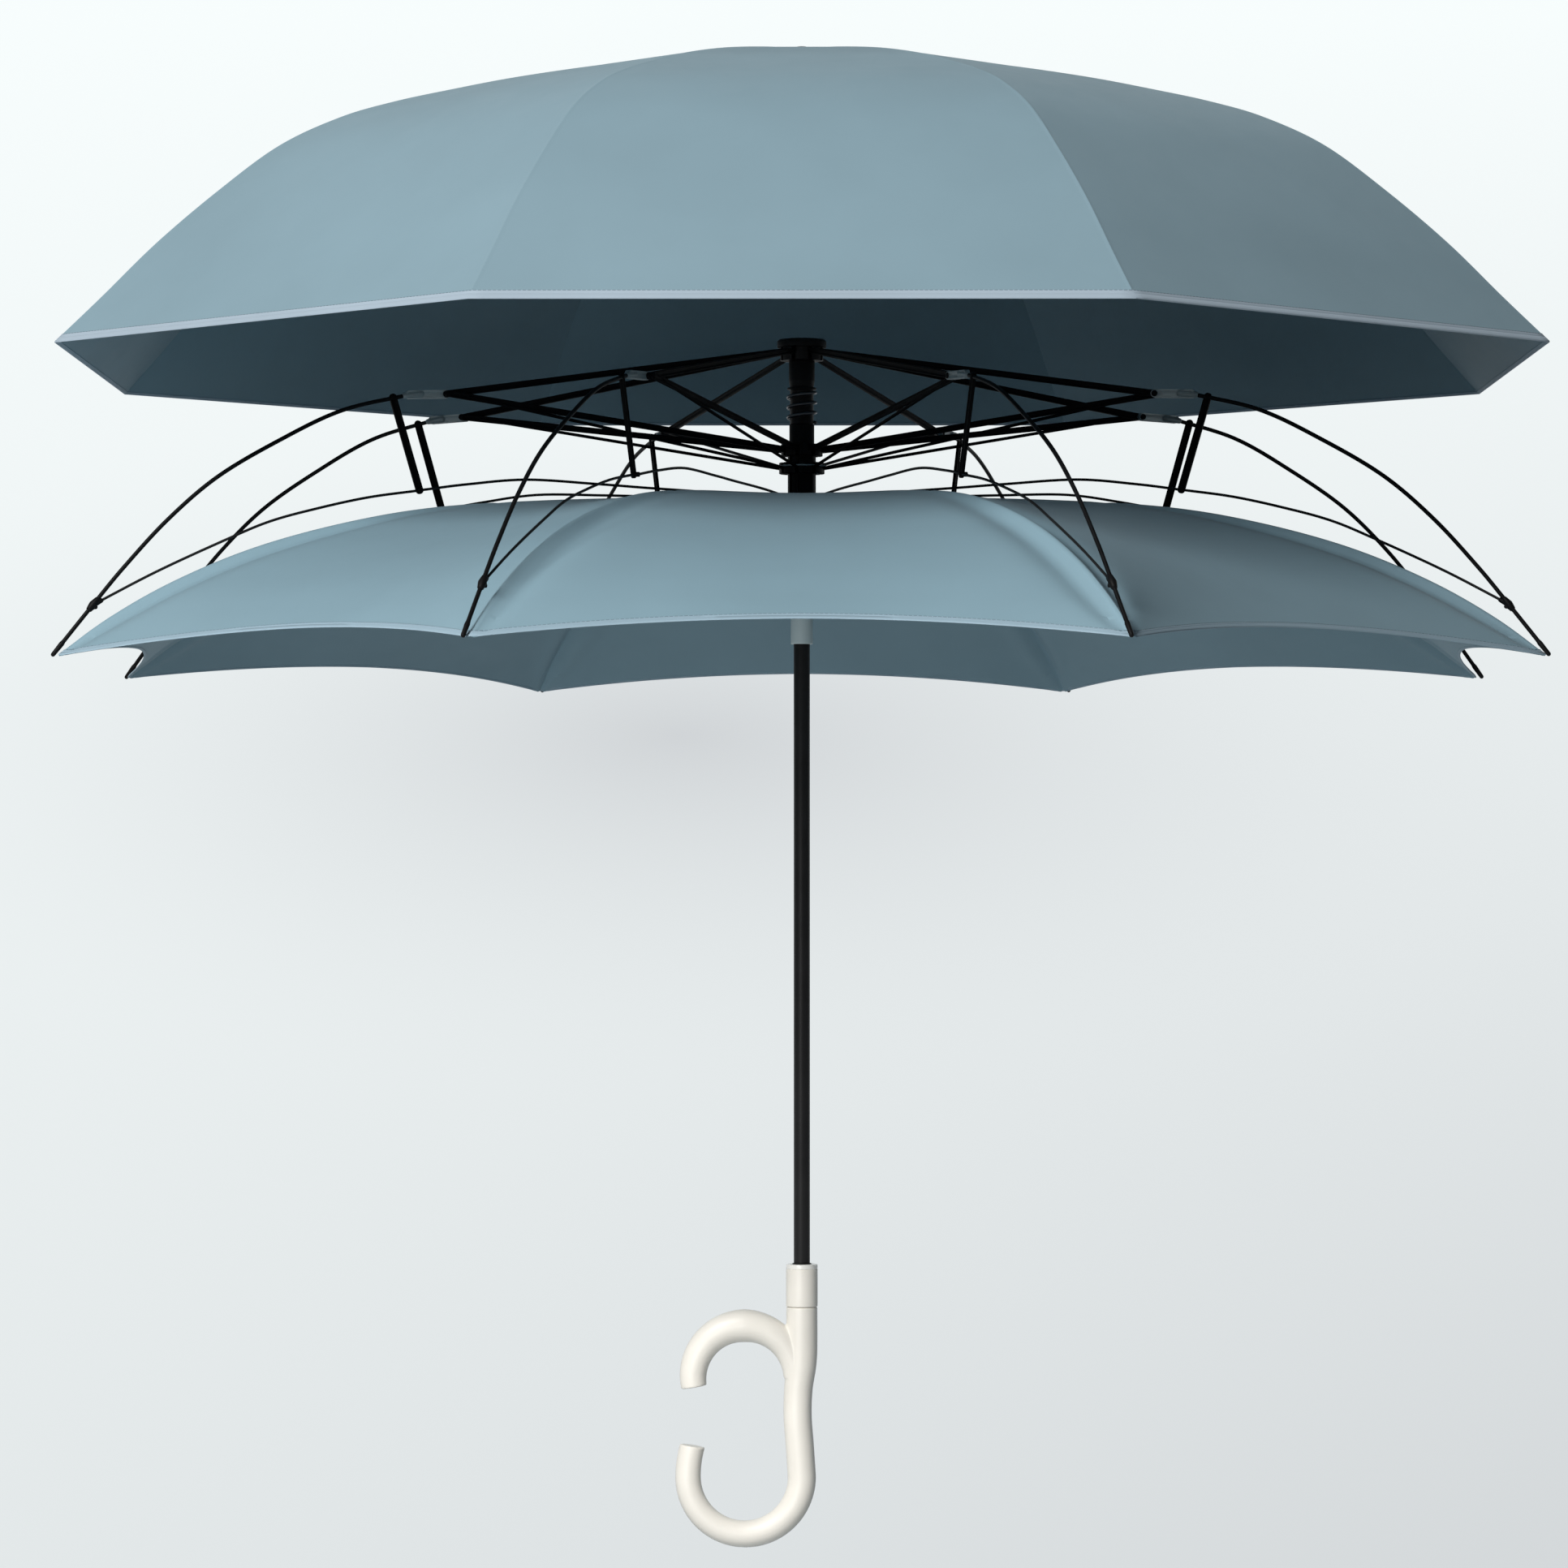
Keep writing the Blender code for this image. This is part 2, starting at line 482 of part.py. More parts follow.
def build_frame(black):
    """The arm, the strut pair, the outer rib and the inner stay of each of the eight ribs."""
    eye = ELBOW_PIN_RADIUS + ELBOW_PIN_PLAY
    rib_bottom = RIB_SIDE - RIB_ROD_RADIUS
    pin = cross_pin(ELBOW, ELBOW_PIN_RADIUS, rib_bottom, STRUT_SIDE + STRUT_THICKNESS / 2)
    arm = joined(flat_bar(CROWN_PIVOT, ELBOW, ARM_HEIGHT, ARM_THICKNESS), pin)
    arm = cut(arm, [cross_pin(CROWN_PIVOT, PIN_RADIUS + ELBOW_PIN_PLAY, -ARM_THICKNESS, ARM_THICKNESS)])

    strut = flat_bar(STRUT_FOOT, ELBOW, STRUT_HEIGHT, STRUT_THICKNESS, STRUT_SIDE)
    strut_end = between(STRUT_FOOT, ELBOW, THIN_STRUT_REACH_SHARE)
    strut = joined(strut, tube(beside((THIN_STRUT_FOOT, strut_end), STRUT_SIDE), THIN_STRUT_RADIUS))
    bore = cross_pin(ELBOW, eye, STRUT_SIDE - STRUT_THICKNESS, STRUT_SIDE + STRUT_THICKNESS)
    strut = cut(strut, [bore])

    rod_line = smooth_line([along_rib(share) for share in (RIB_START_SHARE, *RIB_SHARES, (1.0, 1.0))], 2)
    lug = flat_bar(ELBOW, along_rib(RIB_START_SHARE), RIB_LUG_HEIGHT, 2 * RIB_ROD_RADIUS, RIB_SIDE)
    rod = tube(beside(rod_line, RIB_SIDE), RIB_ROD_RADIUS)
    link = flat_bar(along_rib(LINK_TOP_SHARE), LINK_FOOT, LINK_HEIGHT, LINK_THICKNESS, RIB_SIDE)
    clip_at = along_rib(CLIP_SHARE)
    stay_points = [LINK_FOOT, *map(from_crown, OUTER_STAY_SHARES), clip_at]
    outer_stay = tube(beside(smooth_line(stay_points, 1), RIB_SIDE), STAY_RADIUS)
    rib_end = along_rib((1.0, 1.0))
    clip_ends = [back_from(clip_at, along_rib(RIB_SHARES[-2]), CLIP_LENGTH / 2),
                 back_from(clip_at, rib_end, CLIP_LENGTH / 2)]
    clip = tube(beside(clip_ends, RIB_SIDE), CLIP_RADIUS, 2)
    tip_ends = [back_from(rib_end, clip_at, TIP_LENGTH), back_from(rib_end, clip_at, -RIB_ROD_RADIUS)]
    tip = tube(beside(tip_ends, RIB_SIDE), TIP_RADIUS, 2)
    rib = joined(lug, rod, link, outer_stay, clip, tip)
    rib = cut(rib, [cross_pin(ELBOW, eye, RIB_SIDE - RIB_LUG_HEIGHT, RIB_SIDE + RIB_LUG_HEIGHT)])

    stay_points = [STAY_FOOT, *map(from_crown, INNER_STAY_SHARES), LINK_FOOT]
    stay = tube(beside(smooth_line(stay_points, 1), 0), STAY_RADIUS)

    moved(arm, CROWN_PIVOT)
    moved(strut, ELBOW)
    moved(rib, ELBOW)
    moved(stay, STAY_FOOT)
    for number, turn in enumerate(RIB_TURNS, 1):
        placed(f"arm_{number}", arm, black, beside([CROWN_PIVOT], 0)[0], turn)
        placed(f"strut_{number}", strut, black, beside([ELBOW], 0)[0], turn)
        placed(f"outer_rib_{number}", rib, black, beside([ELBOW], 0)[0], turn)
        placed(f"stay_{number}", stay, black, beside([STAY_FOOT], 0)[0], turn)


def spread(start, end, steps):
    """Values from start to end in this many even steps."""
    return [start + (end - start) * number / steps for number in range(steps + 1)]


def outer_profile(stations):
    """Points (x, z) of the outer canopy along a rib, at these distances out, with the canopy lifted off."""
    points = [(out * RIM_RADIUS, CANOPY_APEX_Z - drop * RIM_RADIUS) for out, drop in OUTER_PROFILE_SHARES]
    line = smooth_line(points, 8)
    found = []
    for station in stations:
        for before, after in zip(line, line[1:]):
            if before.x <= station <= after.x:
                share = (station - before.x) / (after.x - before.x)
                found.append((station, before.y + share * (after.y - before.y)))
                break
    return found


def cloth(rows, closed):
    """A sheet through rows of points with its outside up, as a mesh without thickness."""
    bm = bmesh.new()
    loops = []
    for row in rows:
        corners = [bm.verts.new(point) for point in row]
        pairs = zip(corners, corners[1:] + corners[:1]) if closed else zip(corners, corners[1:])
        loops.append([bm.edges.new(pair) for pair in pairs])
    for first, second in zip(loops, loops[1:]):
        bmesh.ops.bridge_loops(bm, edges=first + second)
    bmesh.ops.recalc_face_normals(bm, faces=bm.faces)
    if sum(face.normal.z for face in bm.faces) < 0:
        bmesh.ops.reverse_faces(bm, faces=bm.faces)
    mesh = bpy.data.meshes.new("cloth")
    bm.to_mesh(mesh)
    bm.free()
    return mesh


def give_thickness(piece):
    wall = piece.modifiers.new("cloth_thickness", "SOLIDIFY")
    wall.thickness = CLOTH_THICKNESS
    wall.offset = -1
    wall.use_even_offset = True


def outer_panel(stations, pivot):
    """Half a gore on each side of a rib, between these distances out, with the pivot (x, z) as its origin."""
    rows = []
    for out, height in outer_profile(stations):
        reach = out * math.cos(HALF_GORE)
        far = Vector((reach * math.cos(HALF_GORE), reach * math.sin(HALF_GORE), height))
        far += FIT_GAP / 2 * Vector((math.sin(HALF_GORE), -math.cos(HALF_GORE), 0))
        rows.append([(far.x, -far.y, height), (out, 0, height), (far.x, far.y, height)])
    return moved(cloth(rows, False), pivot)


def build_outer_canopy(fabric, plastic):
    lifted_crown = (PIVOT_RADIUS, CROWN_PIVOT_Z + CANOPY_LIFT)
    lifted_elbow = (ELBOW_RADIUS, ELBOW_Z + CANOPY_LIFT)
    hole = (CAP_STEM_RADIUS + FIT_GAP) / math.cos(HALF_GORE)
    top_stations = spread(hole, ELBOW_RADIUS - FIT_GAP / 2, TOP_PANEL_STEPS)
    skirt_stations = spread(ELBOW_RADIUS + FIT_GAP / 2, RIM_RADIUS, SKIRT_PANEL_STEPS)
    top_mesh = outer_panel(top_stations, lifted_crown)
    skirt_mesh = outer_panel(skirt_stations, lifted_elbow)
    crown_at = beside([lifted_crown], 0)[0]
    elbow_at = beside([lifted_elbow], 0)[0]
    for number, turn in enumerate(RIB_TURNS, 1):
        give_thickness(placed(f"outer_canopy_top_{number}", top_mesh, fabric, crown_at, turn))
        give_thickness(placed(f"outer_canopy_skirt_{number}", skirt_mesh, fabric, elbow_at, turn))
    under = outer_profile([WASHER_RADIUS])[0][1] - CLOTH_THICKNESS - SLIDE_GAP
    seat = CANOPY_APEX_Z + FIT_GAP
    placed("top_cap", turned((
        (0, under - WASHER_THICKNESS), (WASHER_RADIUS, under - WASHER_THICKNESS), (WASHER_RADIUS, under),
        (CAP_STEM_RADIUS, under), (CAP_STEM_RADIUS, seat), (CAP_RADIUS, seat),
        (CAP_RADIUS, seat + CAP_HEIGHT / 2), (CAP_RADIUS * CAP_TOP_SHARE, seat + CAP_HEIGHT),
        (0, seat + CAP_HEIGHT),
    )), plastic)


def build_inner_canopy(fabric):
    hole = (RUNNER_RADIUS + SLIDE_GAP) / math.cos(HALF_GORE)
    first = (hole / RIM_RADIUS, (CROWN_PIVOT_Z - STAY_RING_Z + STAY_RADIUS + STAY_TO_CLOTH) / RIM_RADIUS)
    ridges = smooth_line([first, *INNER_RIDGE_SHARES], 1)
    middles = smooth_line([(first[0] * math.cos(HALF_GORE), first[1]), *INNER_MIDDLE_SHARES], 1)
    rows = []
    for ridge, middle in zip(ridges, middles):
        out, height = from_crown(ridge)
        middle_out, middle_height = from_crown(middle)
        row = []
        for turn in RIB_TURNS:
            start = Vector((out * math.cos(turn), out * math.sin(turn), height))
            after = turn + 2 * HALF_GORE
            end = Vector((out * math.cos(after), out * math.sin(after), height))
            across = turn + HALF_GORE
            belly = Vector((middle_out * math.cos(across), middle_out * math.sin(across), middle_height))
            for step in range(GORE_STEPS):
                share = 2 * step / GORE_STEPS - 1
                chord = (start + end) / 2 + share * (end - start) / 2
                row.append(chord + (1 - share ** 2) * (belly - (start + end) / 2))
        rows.append(row)
    give_thickness(placed("inner_canopy", cloth(rows, True), fabric))


def hook_arc(centre, radius, from_deg, to_deg):
    """Points (x, z) round a hook, about one for each step."""
    count = max(1, round(abs(to_deg - from_deg) / HOOK_STEP_DEG))
    angles = [math.radians(from_deg + (to_deg - from_deg) * number / count) for number in range(count + 1)]
    return [(centre[0] + radius * math.cos(angle), centre[1] + radius * math.sin(angle)) for angle in angles]


def build_handle(ivory):
    floor = COLLAR_BOTTOM_Z + COLLAR_FLOOR
    top = COLLAR_BOTTOM_Z + COLLAR_LENGTH
    placed("handle_collar", turned((
        (0, COLLAR_BOTTOM_Z - SPIGOT_LENGTH), (SPIGOT_RADIUS, COLLAR_BOTTOM_Z - SPIGOT_LENGTH),
        (SPIGOT_RADIUS, COLLAR_BOTTOM_Z), (COLLAR_RADIUS, COLLAR_BOTTOM_Z), (COLLAR_RADIUS, top),
        (SHAFT_BORE_RADIUS, top), (SHAFT_BORE_RADIUS, floor), (0, floor),
    )), ivory)
    stem = [(offset * GRIP_RADIUS, LOWER_HOOK_CENTRE_Z + share * (GRIP_TOP_Z - LOWER_HOOK_CENTRE_Z))
            for offset, share in STEM_SHARES]
    stem[0] = (0, GRIP_TOP_Z + OVERRUN)
    lower = hook_arc((-LOWER_HOOK_RADIUS, LOWER_HOOK_CENTRE_Z), LOWER_HOOK_RADIUS, 360, LOWER_HOOK_TIP_DEG)
    stem_line = smooth_line(stem + lower[:1], 3)[:-1]
    waist = GRIP_WAIST_SHARE * GRIP_RADIUS
    stem_radii = [GRIP_RADIUS] * (len(stem_line) // 2)
    stem_radii += spread(GRIP_RADIUS, waist, len(stem_line) - len(stem_radii) - 1)
    hook_radii = spread(waist, LOWER_HOOK_TIP_RADIUS, len(lower) - 1)
    grip = tube(beside([*stem_line, *lower], 0), stem_radii + hook_radii, 5)
    centre = (-UPPER_HOOK_OFFSET, UPPER_HOOK_CENTRE_Z)
    rising = hook_arc(centre, UPPER_HOOK_RADIUS, UPPER_HOOK_TIP_DEG, 90)
    falling = hook_arc(centre, UPPER_HOOK_RADIUS, 90, 0)[1:]
    radii = spread(UPPER_HOOK_TIP_RADIUS, UPPER_HOOK_CROWN_RADIUS, len(rising) - 1)
    radii += spread(UPPER_HOOK_CROWN_RADIUS, UPPER_HOOK_ROOT_RADIUS, len(falling))[1:]
    upper = tube(beside([*rising, *falling], 0), radii, 5)
    bore_floor = GRIP_TOP_Z - SPIGOT_LENGTH - FIT_GAP
    bore = turned(((0, bore_floor), (GRIP_BORE_RADIUS, bore_floor),
                   (GRIP_BORE_RADIUS, GRIP_TOP_Z + OVERRUN), (0, GRIP_TOP_Z + OVERRUN)))
    wide = GRIP_RADIUS + OVERRUN
    above = block((-wide, -wide, GRIP_TOP_Z), (wide, wide, GRIP_TOP_Z + 2 * OVERRUN))
    placed("handle_grip", cut(joined(grip, upper), [bore, above]), ivory)


def main():
    for piece in list(bpy.data.objects):
        bpy.data.objects.remove(piece)
    black = material("black_metal", (0.01, 0.01, 0.011), 0.45, 0.6)
    plastic = material("black_plastic", (0.012, 0.012, 0.013), 0.5)
    steel = material("spring_steel", (0.05, 0.05, 0.055), 0.35, 0.9)
    grey = material("grey_nylon", (0.19, 0.22, 0.22), 0.4)
    ivory = material("ivory_plastic", (0.92, 0.89, 0.81), 0.35)
    outer = material("outer_cloth", (0.25, 0.37, 0.44), 0.85)
    inner = material("inner_cloth", (0.21, 0.31, 0.37), 0.85)
    build_shaft(black)
    build_catch(steel)
    build_crown(plastic)
    build_sleeve_and_spring(plastic, steel)
    build_runner(plastic, grey)
    build_frame(black)
    build_outer_canopy(outer, plastic)
    build_inner_canopy(inner)
    build_handle(ivory)


main()
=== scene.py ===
"""The looks of a reverse-folding umbrella with its outer canopy lifted off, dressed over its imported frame."""
import json
import math

import bmesh
import bpy
from mathutils import Matrix, Vector

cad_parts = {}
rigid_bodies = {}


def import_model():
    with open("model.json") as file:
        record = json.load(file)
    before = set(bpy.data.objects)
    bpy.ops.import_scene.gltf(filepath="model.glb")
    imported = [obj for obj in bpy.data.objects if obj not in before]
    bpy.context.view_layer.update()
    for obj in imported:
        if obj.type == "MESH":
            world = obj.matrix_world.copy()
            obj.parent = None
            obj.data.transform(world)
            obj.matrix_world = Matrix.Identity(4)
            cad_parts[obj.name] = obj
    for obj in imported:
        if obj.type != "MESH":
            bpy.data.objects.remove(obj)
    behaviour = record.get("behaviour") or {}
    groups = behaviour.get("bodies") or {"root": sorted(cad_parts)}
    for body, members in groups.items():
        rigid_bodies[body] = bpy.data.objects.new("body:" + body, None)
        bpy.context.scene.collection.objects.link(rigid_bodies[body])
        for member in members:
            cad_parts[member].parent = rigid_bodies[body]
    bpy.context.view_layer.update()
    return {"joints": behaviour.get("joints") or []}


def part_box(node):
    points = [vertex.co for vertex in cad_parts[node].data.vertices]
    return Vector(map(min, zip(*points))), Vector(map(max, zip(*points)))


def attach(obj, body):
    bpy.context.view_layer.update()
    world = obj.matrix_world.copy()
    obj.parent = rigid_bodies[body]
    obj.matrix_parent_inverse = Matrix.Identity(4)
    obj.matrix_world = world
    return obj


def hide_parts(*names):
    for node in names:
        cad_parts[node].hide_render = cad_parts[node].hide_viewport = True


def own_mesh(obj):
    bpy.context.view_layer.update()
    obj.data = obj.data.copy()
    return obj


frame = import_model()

# Driving sizes, as in the frame. Every place is (distance from the shaft, height) in a rib's plane
RIB_COUNT = 8
HALF_GORE = math.pi / RIB_COUNT
RIB_TURNS = [HALF_GORE + number * math.tau / RIB_COUNT for number in range(RIB_COUNT)]
RIM_RADIUS = 0.525
RIB_TIP_DROP = 0.2147
CANOPY_APEX_RISE = 0.2064
STRUT_FOOT_DROP = 0.0672
THIN_STRUT_FOOT_RADIUS = 0.0145
THIN_STRUT_FOOT_DROP = 0.0795
FIT_GAP = 0.0003
ARM_HEIGHT = 0.0048
ARM_THICKNESS = 0.0024
STRUT_HEIGHT = 0.0044
STRUT_THICKNESS = 0.002
MEMBER_GAP = 0.0004
RIB_ROD_RADIUS = 0.0014
STAY_RADIUS = 0.0009
THIN_STRUT_RADIUS = 0.0011
LINK_HEIGHT = 0.005
LINK_THICKNESS = 0.0022
STRUT_SIDE = ARM_THICKNESS / 2 + MEMBER_GAP + STRUT_THICKNESS / 2
RIB_SIDE = -(ARM_THICKNESS / 2 + MEMBER_GAP + RIB_ROD_RADIUS)
SHAFT_RADIUS = 0.0055
SHAFT_BORE = 0.0046
SLIDE_BORE = 0.0058

# Shapes along a rib and across a gore, as shares of the sizes above
OUTER_PROFILE_SHARES = (
    (0.0, 0.0), (0.03, 0.0014), (0.12, 0.0108), (0.26, 0.0305), (0.39, 0.0545), (0.4875, 0.077),
    (0.56, 0.0955), (0.63, 0.1185), (0.71, 0.158), (0.79, 0.2185),
    (0.87, 0.2875), (0.94, 0.357), (1.0, 0.415),
)
RIB_SHARES = ((0.27, 0.0737), (0.434, 0.1947), (0.588, 0.334), (0.713, 0.4956), (0.822, 0.6726), (0.9, 0.814))
RIB_START_SHARE = (0.0946, 0.0059)
SLEEVE_START_SHARE = (RIB_START_SHARE[0] - 0.03, 0.002)
LINK_TOP_SHARE = (0.137, 0.018)
LINK_FOOT_SHARE = (0.522, 0.193)
INNER_STAY_SHARES = (
    (0.095, 0.188), (0.146, 0.185), (0.22, 0.182), (0.285, 0.179), (0.38, 0.176), (0.46, 0.184),
)
OUTER_STAY_SHARES = ((0.59, 0.2035), (0.657, 0.219), (0.72, 0.237), (0.779, 0.262), (0.867, 0.303))
INNER_RIDGE_SHARES = (
    (0.10, 0.1925), (0.20, 0.1945), (0.35, 0.2015), (0.50, 0.214),
    (0.62, 0.236), (0.74, 0.270), (0.845, 0.314), (0.93, 0.362), (1.0, 0.413),
)
INNER_MIDDLE_SHARES = (
    (0.0924, 0.193), (0.185, 0.196), (0.323, 0.206), (0.462, 0.224),
    (0.568, 0.250), (0.672, 0.286), (0.76, 0.326), (0.82, 0.360), (0.865, 0.388),
)

# Cloth: how it rises at a seam, rounds over a rib, creases beside it and laps under itself
CLOTH_THICKNESS = 0.0004
THREAD_PITCH = 0.0005
SEAM_STEPS = (0.0, 0.0009, 0.0018, 0.0024, 0.003)
SEAM_RISE_SHARES = (1.0, 0.9, 0.25)
SEAM_FULL_HALF_WIDTH = 0.012
OUTER_SEAM_RISE = 0.0002
INNER_SEAM_RISE = 0.00012
OUTER_HOLE = 0.0036
INNER_HOLE = 0.0103
INNER_TIP_SHORT = 0.003
RIDGE_ROUNDING = 0.006
CREASE_DEPTH = 0.0050
CREASE_WIDTH = 0.0100
CREASE_TIP_WIDTH = 0.0015
CREASE_OPENING = 0.022
CREASE_START = 0.20
CREASE_FADE = 0.19
LAP_INWARD = 0.05
LAP_OUTWARD = 0.04
UNDERLAP_DROP = 0.0006
UNDERLAP_EASE = 0.02

# Hems: a tape folded over the edge of the cloth, with a groove and a row of stitches
OUTER_HEM_WIDTH = 0.0075
INNER_HEM_WIDTH = 0.0055
OUTER_HEM_SLOPE = 0.72
TAPE_THICKNESS = 0.0004
TAPE_UNDER_SHARE = 0.36
TAPE_CORNER = 0.0003
TAPE_FOLD = 0.0006
TAPE_NIP = 0.0001
TAPE_GROOVE_SHARES = ((0.62, 1.0), (0.58, 0.55), (0.54, 1.0))
STITCH_LENGTH = 0.0021
STITCH_PITCH = 0.0030
STITCH_RADIUS = 0.00022
STITCH_INSET = 0.0008
EDGE_PROBE = 0.002
SHARE_PROBE = 0.01

# Pressed bars, rods and wires
GROOVE_DEPTH = 0.0004
ARM_GROOVE_DEPTH = 0.0005
BAR_RIM = 0.001
LINK_RIM = 0.0012
ROD_SIDES = 16
WIRE_SIDES = 12
RING_SIDES = 10

# Runner and shaft
MOUTH_RADIUS = 0.0073
MOUTH_DEPTH = 0.0083
SLOT_END = 0.002
KEY_HALF_WIDTH = 0.0012

# Handle
GRIP_RADIUS = 0.0106
GRIP_TOP_Z = 0.0668
GRIP_SIDES = 32
STEM_SHARES = ((0.0, 1.0), (0.0, 0.8), (-0.04, 0.66), (-0.22, 0.52), (-0.27, 0.36), (-0.13, 0.18))
GRIP_RADIUS_SHARES = ((1.0, 0.0), (1.0, 0.38), (0.92, 0.52), (0.91, 0.75), (0.91, 1.0))
HOOK_END_RADIUS = 0.0085
LOWER_TIP = (-0.0735, 0, -0.0276)
LOWER_TIP_SLOPE_DEG = -8.9
LOWER_HOOK_RADIUS = 0.0387
LOWER_HOOK_CENTRE_Z = -0.0487
UPPER_HOOK_RADIUS = 0.035
UPPER_HOOK_CENTRE = (-0.039, 0.019)
UPPER_HOOK_ROOT_RADIUS = 0.0088
UPPER_HOOK_CREST_RADIUS = 0.01125

# Setting
CAMERA_DISTANCE = 4.07
CAMERA_HEIGHT = 0.3469
CAMERA_TILT_DEG = 91.067
CAMERA_ROLL_DEG = 0.171
CAMERA_LENS = 137.1
LAMP_PLACE = (-1.64, -2.88)
LAMP_TARGET = (0, 0, 0.62)
LAMP_SIZE = 1.3
LAMP_COLOUR = (1.0, 0.985, 0.965)
LAMPS = (
    ("key", 2.80, 128, "all_but_inner_canopy", "EXCLUDE"),
    ("key_for_inner_canopy", 1.65, 122, "inner_canopy_lit", "INCLUDE"),
)

JOINTS = {joint["name"]: joint for joint in frame["joints"]}


def pivot(name):
    """Where a hinge is in its rib's plane."""
    x, y, z = JOINTS[name]["pos_m"]
    return math.hypot(x, y), z


CROWN_PIVOT = pivot("arm_1_hinge")
ELBOW = pivot("rib_1_hinge")
STAY_FOOT = pivot("stay_1_hinge")
CANOPY_APEX_Z = CROWN_PIVOT[1] + CANOPY_APEX_RISE
RIB_TIP = (RIM_RADIUS, CROWN_PIVOT[1] - RIB_TIP_DROP)
STRUT_FOOT = (CROWN_PIVOT[0], CROWN_PIVOT[1] - STRUT_FOOT_DROP)
THIN_STRUT_FOOT = (THIN_STRUT_FOOT_RADIUS, CROWN_PIVOT[1] - THIN_STRUT_FOOT_DROP)


def height_span(node):
    low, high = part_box(node)
    return low.z, high.z


# Materials

def principled(made, socket):
    """An input socket of the material's own shader."""
    return made.node_tree.nodes["Principled BSDF"].inputs[socket]


def node_material(name, colour, roughness, **sockets):
    """A Principled material, with any more of its sockets set by name."""
    made = bpy.data.materials.new(name)
    made.use_nodes = True
    sockets.update(Base_Color=(*colour, 1), Roughness=roughness)
    for socket, value in sockets.items():
        principled(made, socket.replace("_", " ")).default_value = value
    return made


def add_node(made, kind, **settings):
    """A shader node of this kind, with inputs and options set by name."""
    node = made.node_tree.nodes.new("ShaderNode" + kind)
    for key, value in settings.items():
        if hasattr(node, key):
            setattr(node, key, value)
        else:
            node.inputs[key.replace("_", " ")].default_value = value
    return node


def link(made, source, target):
    """Joins an output socket to an input socket."""
    made.node_tree.links.new(source, target)


def noise(made, scale, detail=3.0):
    """The socket of a noise pattern of this scale over the piece."""
    place = add_node(made, "TexCoord")
    pattern = add_node(made, "TexNoise", Scale=scale, Detail=detail)
    link(made, place.outputs["Object"], pattern.inputs["Vector"])
    return pattern.outputs["Fac"]


def colour_ramp(made, pattern, first, last, start=0.0, end=1.0):
    """The socket of a colour that runs from the first to the last as the pattern goes from start to end."""
    ramp = add_node(made, "ValToRGB")
    low, high = ramp.color_ramp.elements
    low.position = start
    low.color = (*first, 1)
    high.position = end
    high.color = (*last, 1)
    link(made, pattern, ramp.inputs["Fac"])
    return ramp.outputs["Color"]


def map_range(made, value, **limits):
    """The socket of a value stretched between the limits given."""
    spread = add_node(made, "MapRange", **limits)
    link(made, value, spread.inputs["Value"])
    return spread.outputs["Result"]


def vary_colour(made, pattern, darker, lighter):
    """The base colour runs between two shades with a pattern."""
    link(made, colour_ramp(made, pattern, darker, lighter, 0.3, 0.7), principled(made, "Base Color"))


def vary_roughness(made, pattern, low, high):
    link(made, map_range(made, pattern, To_Min=low, To_Max=high), principled(made, "Roughness"))


def add_bump(made, *patterns):
    """Bumps on top of each other, each (pattern, strength, distance)."""
    before = None
    for pattern, strength, distance in patterns:
        bump = add_node(made, "Bump", Strength=strength, Distance=distance)
        link(made, pattern, bump.inputs["Height"])
        if before is not None:
            link(made, before, bump.inputs["Normal"])
        before = bump.outputs["Normal"]
    link(made, before, principled(made, "Normal"))


def shade(colour, factor):
    return tuple(min(1.0, part * factor) for part in colour)


def woven(name, colour, sheen):
    """Tightly woven umbrella cloth: a plain weave along each gore, with faint slubs and soft unevenness."""
    made = node_material(name, colour, 0.62, Sheen_Weight=sheen, Sheen_Roughness=0.45,
                         Specular_IOR_Level=0.25)
    vary_colour(made, noise(made, 9.0, 4.0), shade(colour, 0.965), shade(colour, 1.035))
    place = add_node(made, "TexCoord")
    weave = add_node(made, "Math", operation="MAXIMUM")
    for direction, target in zip(("X", "Y"), weave.inputs):
        thread = add_node(made, "TexWave", bands_direction=direction,
                          Scale=math.tau / 20 / THREAD_PITCH, Distortion=0.4, Detail=1.0)
        link(made, place.outputs["UV"], thread.inputs["Vector"])
        link(made, thread.outputs["Fac"], target)
    add_bump(made, (weave.outputs["Value"], 0.25, 0.00008), (noise(made, 26.0, 2.0), 0.12, 0.002))
    vary_roughness(made, noise(made, 60.0), 0.56, 0.7)
    return made


def painted(name, colour, roughness, metallic, grain, gloss=0.1):
    """Satin black paint or anodising: fine orange peel, and a roughness that wanders a little."""
    made = node_material(name, colour, roughness, Metallic=metallic, Specular_IOR_Level=gloss)
    vary_colour(made, noise(made, 40.0), shade(colour, 0.8), shade(colour, 1.25))
    vary_roughness(made, noise(made, 90.0), roughness - 0.06, roughness + 0.06)
    add_bump(made, (noise(made, grain), 0.18, 0.0001))
    return made


def moulded(name, colour, roughness, **sockets):
    """Moulded plastic with a fine matt grain."""
    made = node_material(name, colour, roughness, **sockets)
    vary_colour(made, noise(made, 30.0), shade(colour, 0.96), shade(colour, 1.03))
    vary_roughness(made, noise(made, 70.0), roughness - 0.04, roughness + 0.05)
    add_bump(made, (noise(made, 2200.0), 0.08, 0.00008))
    return made


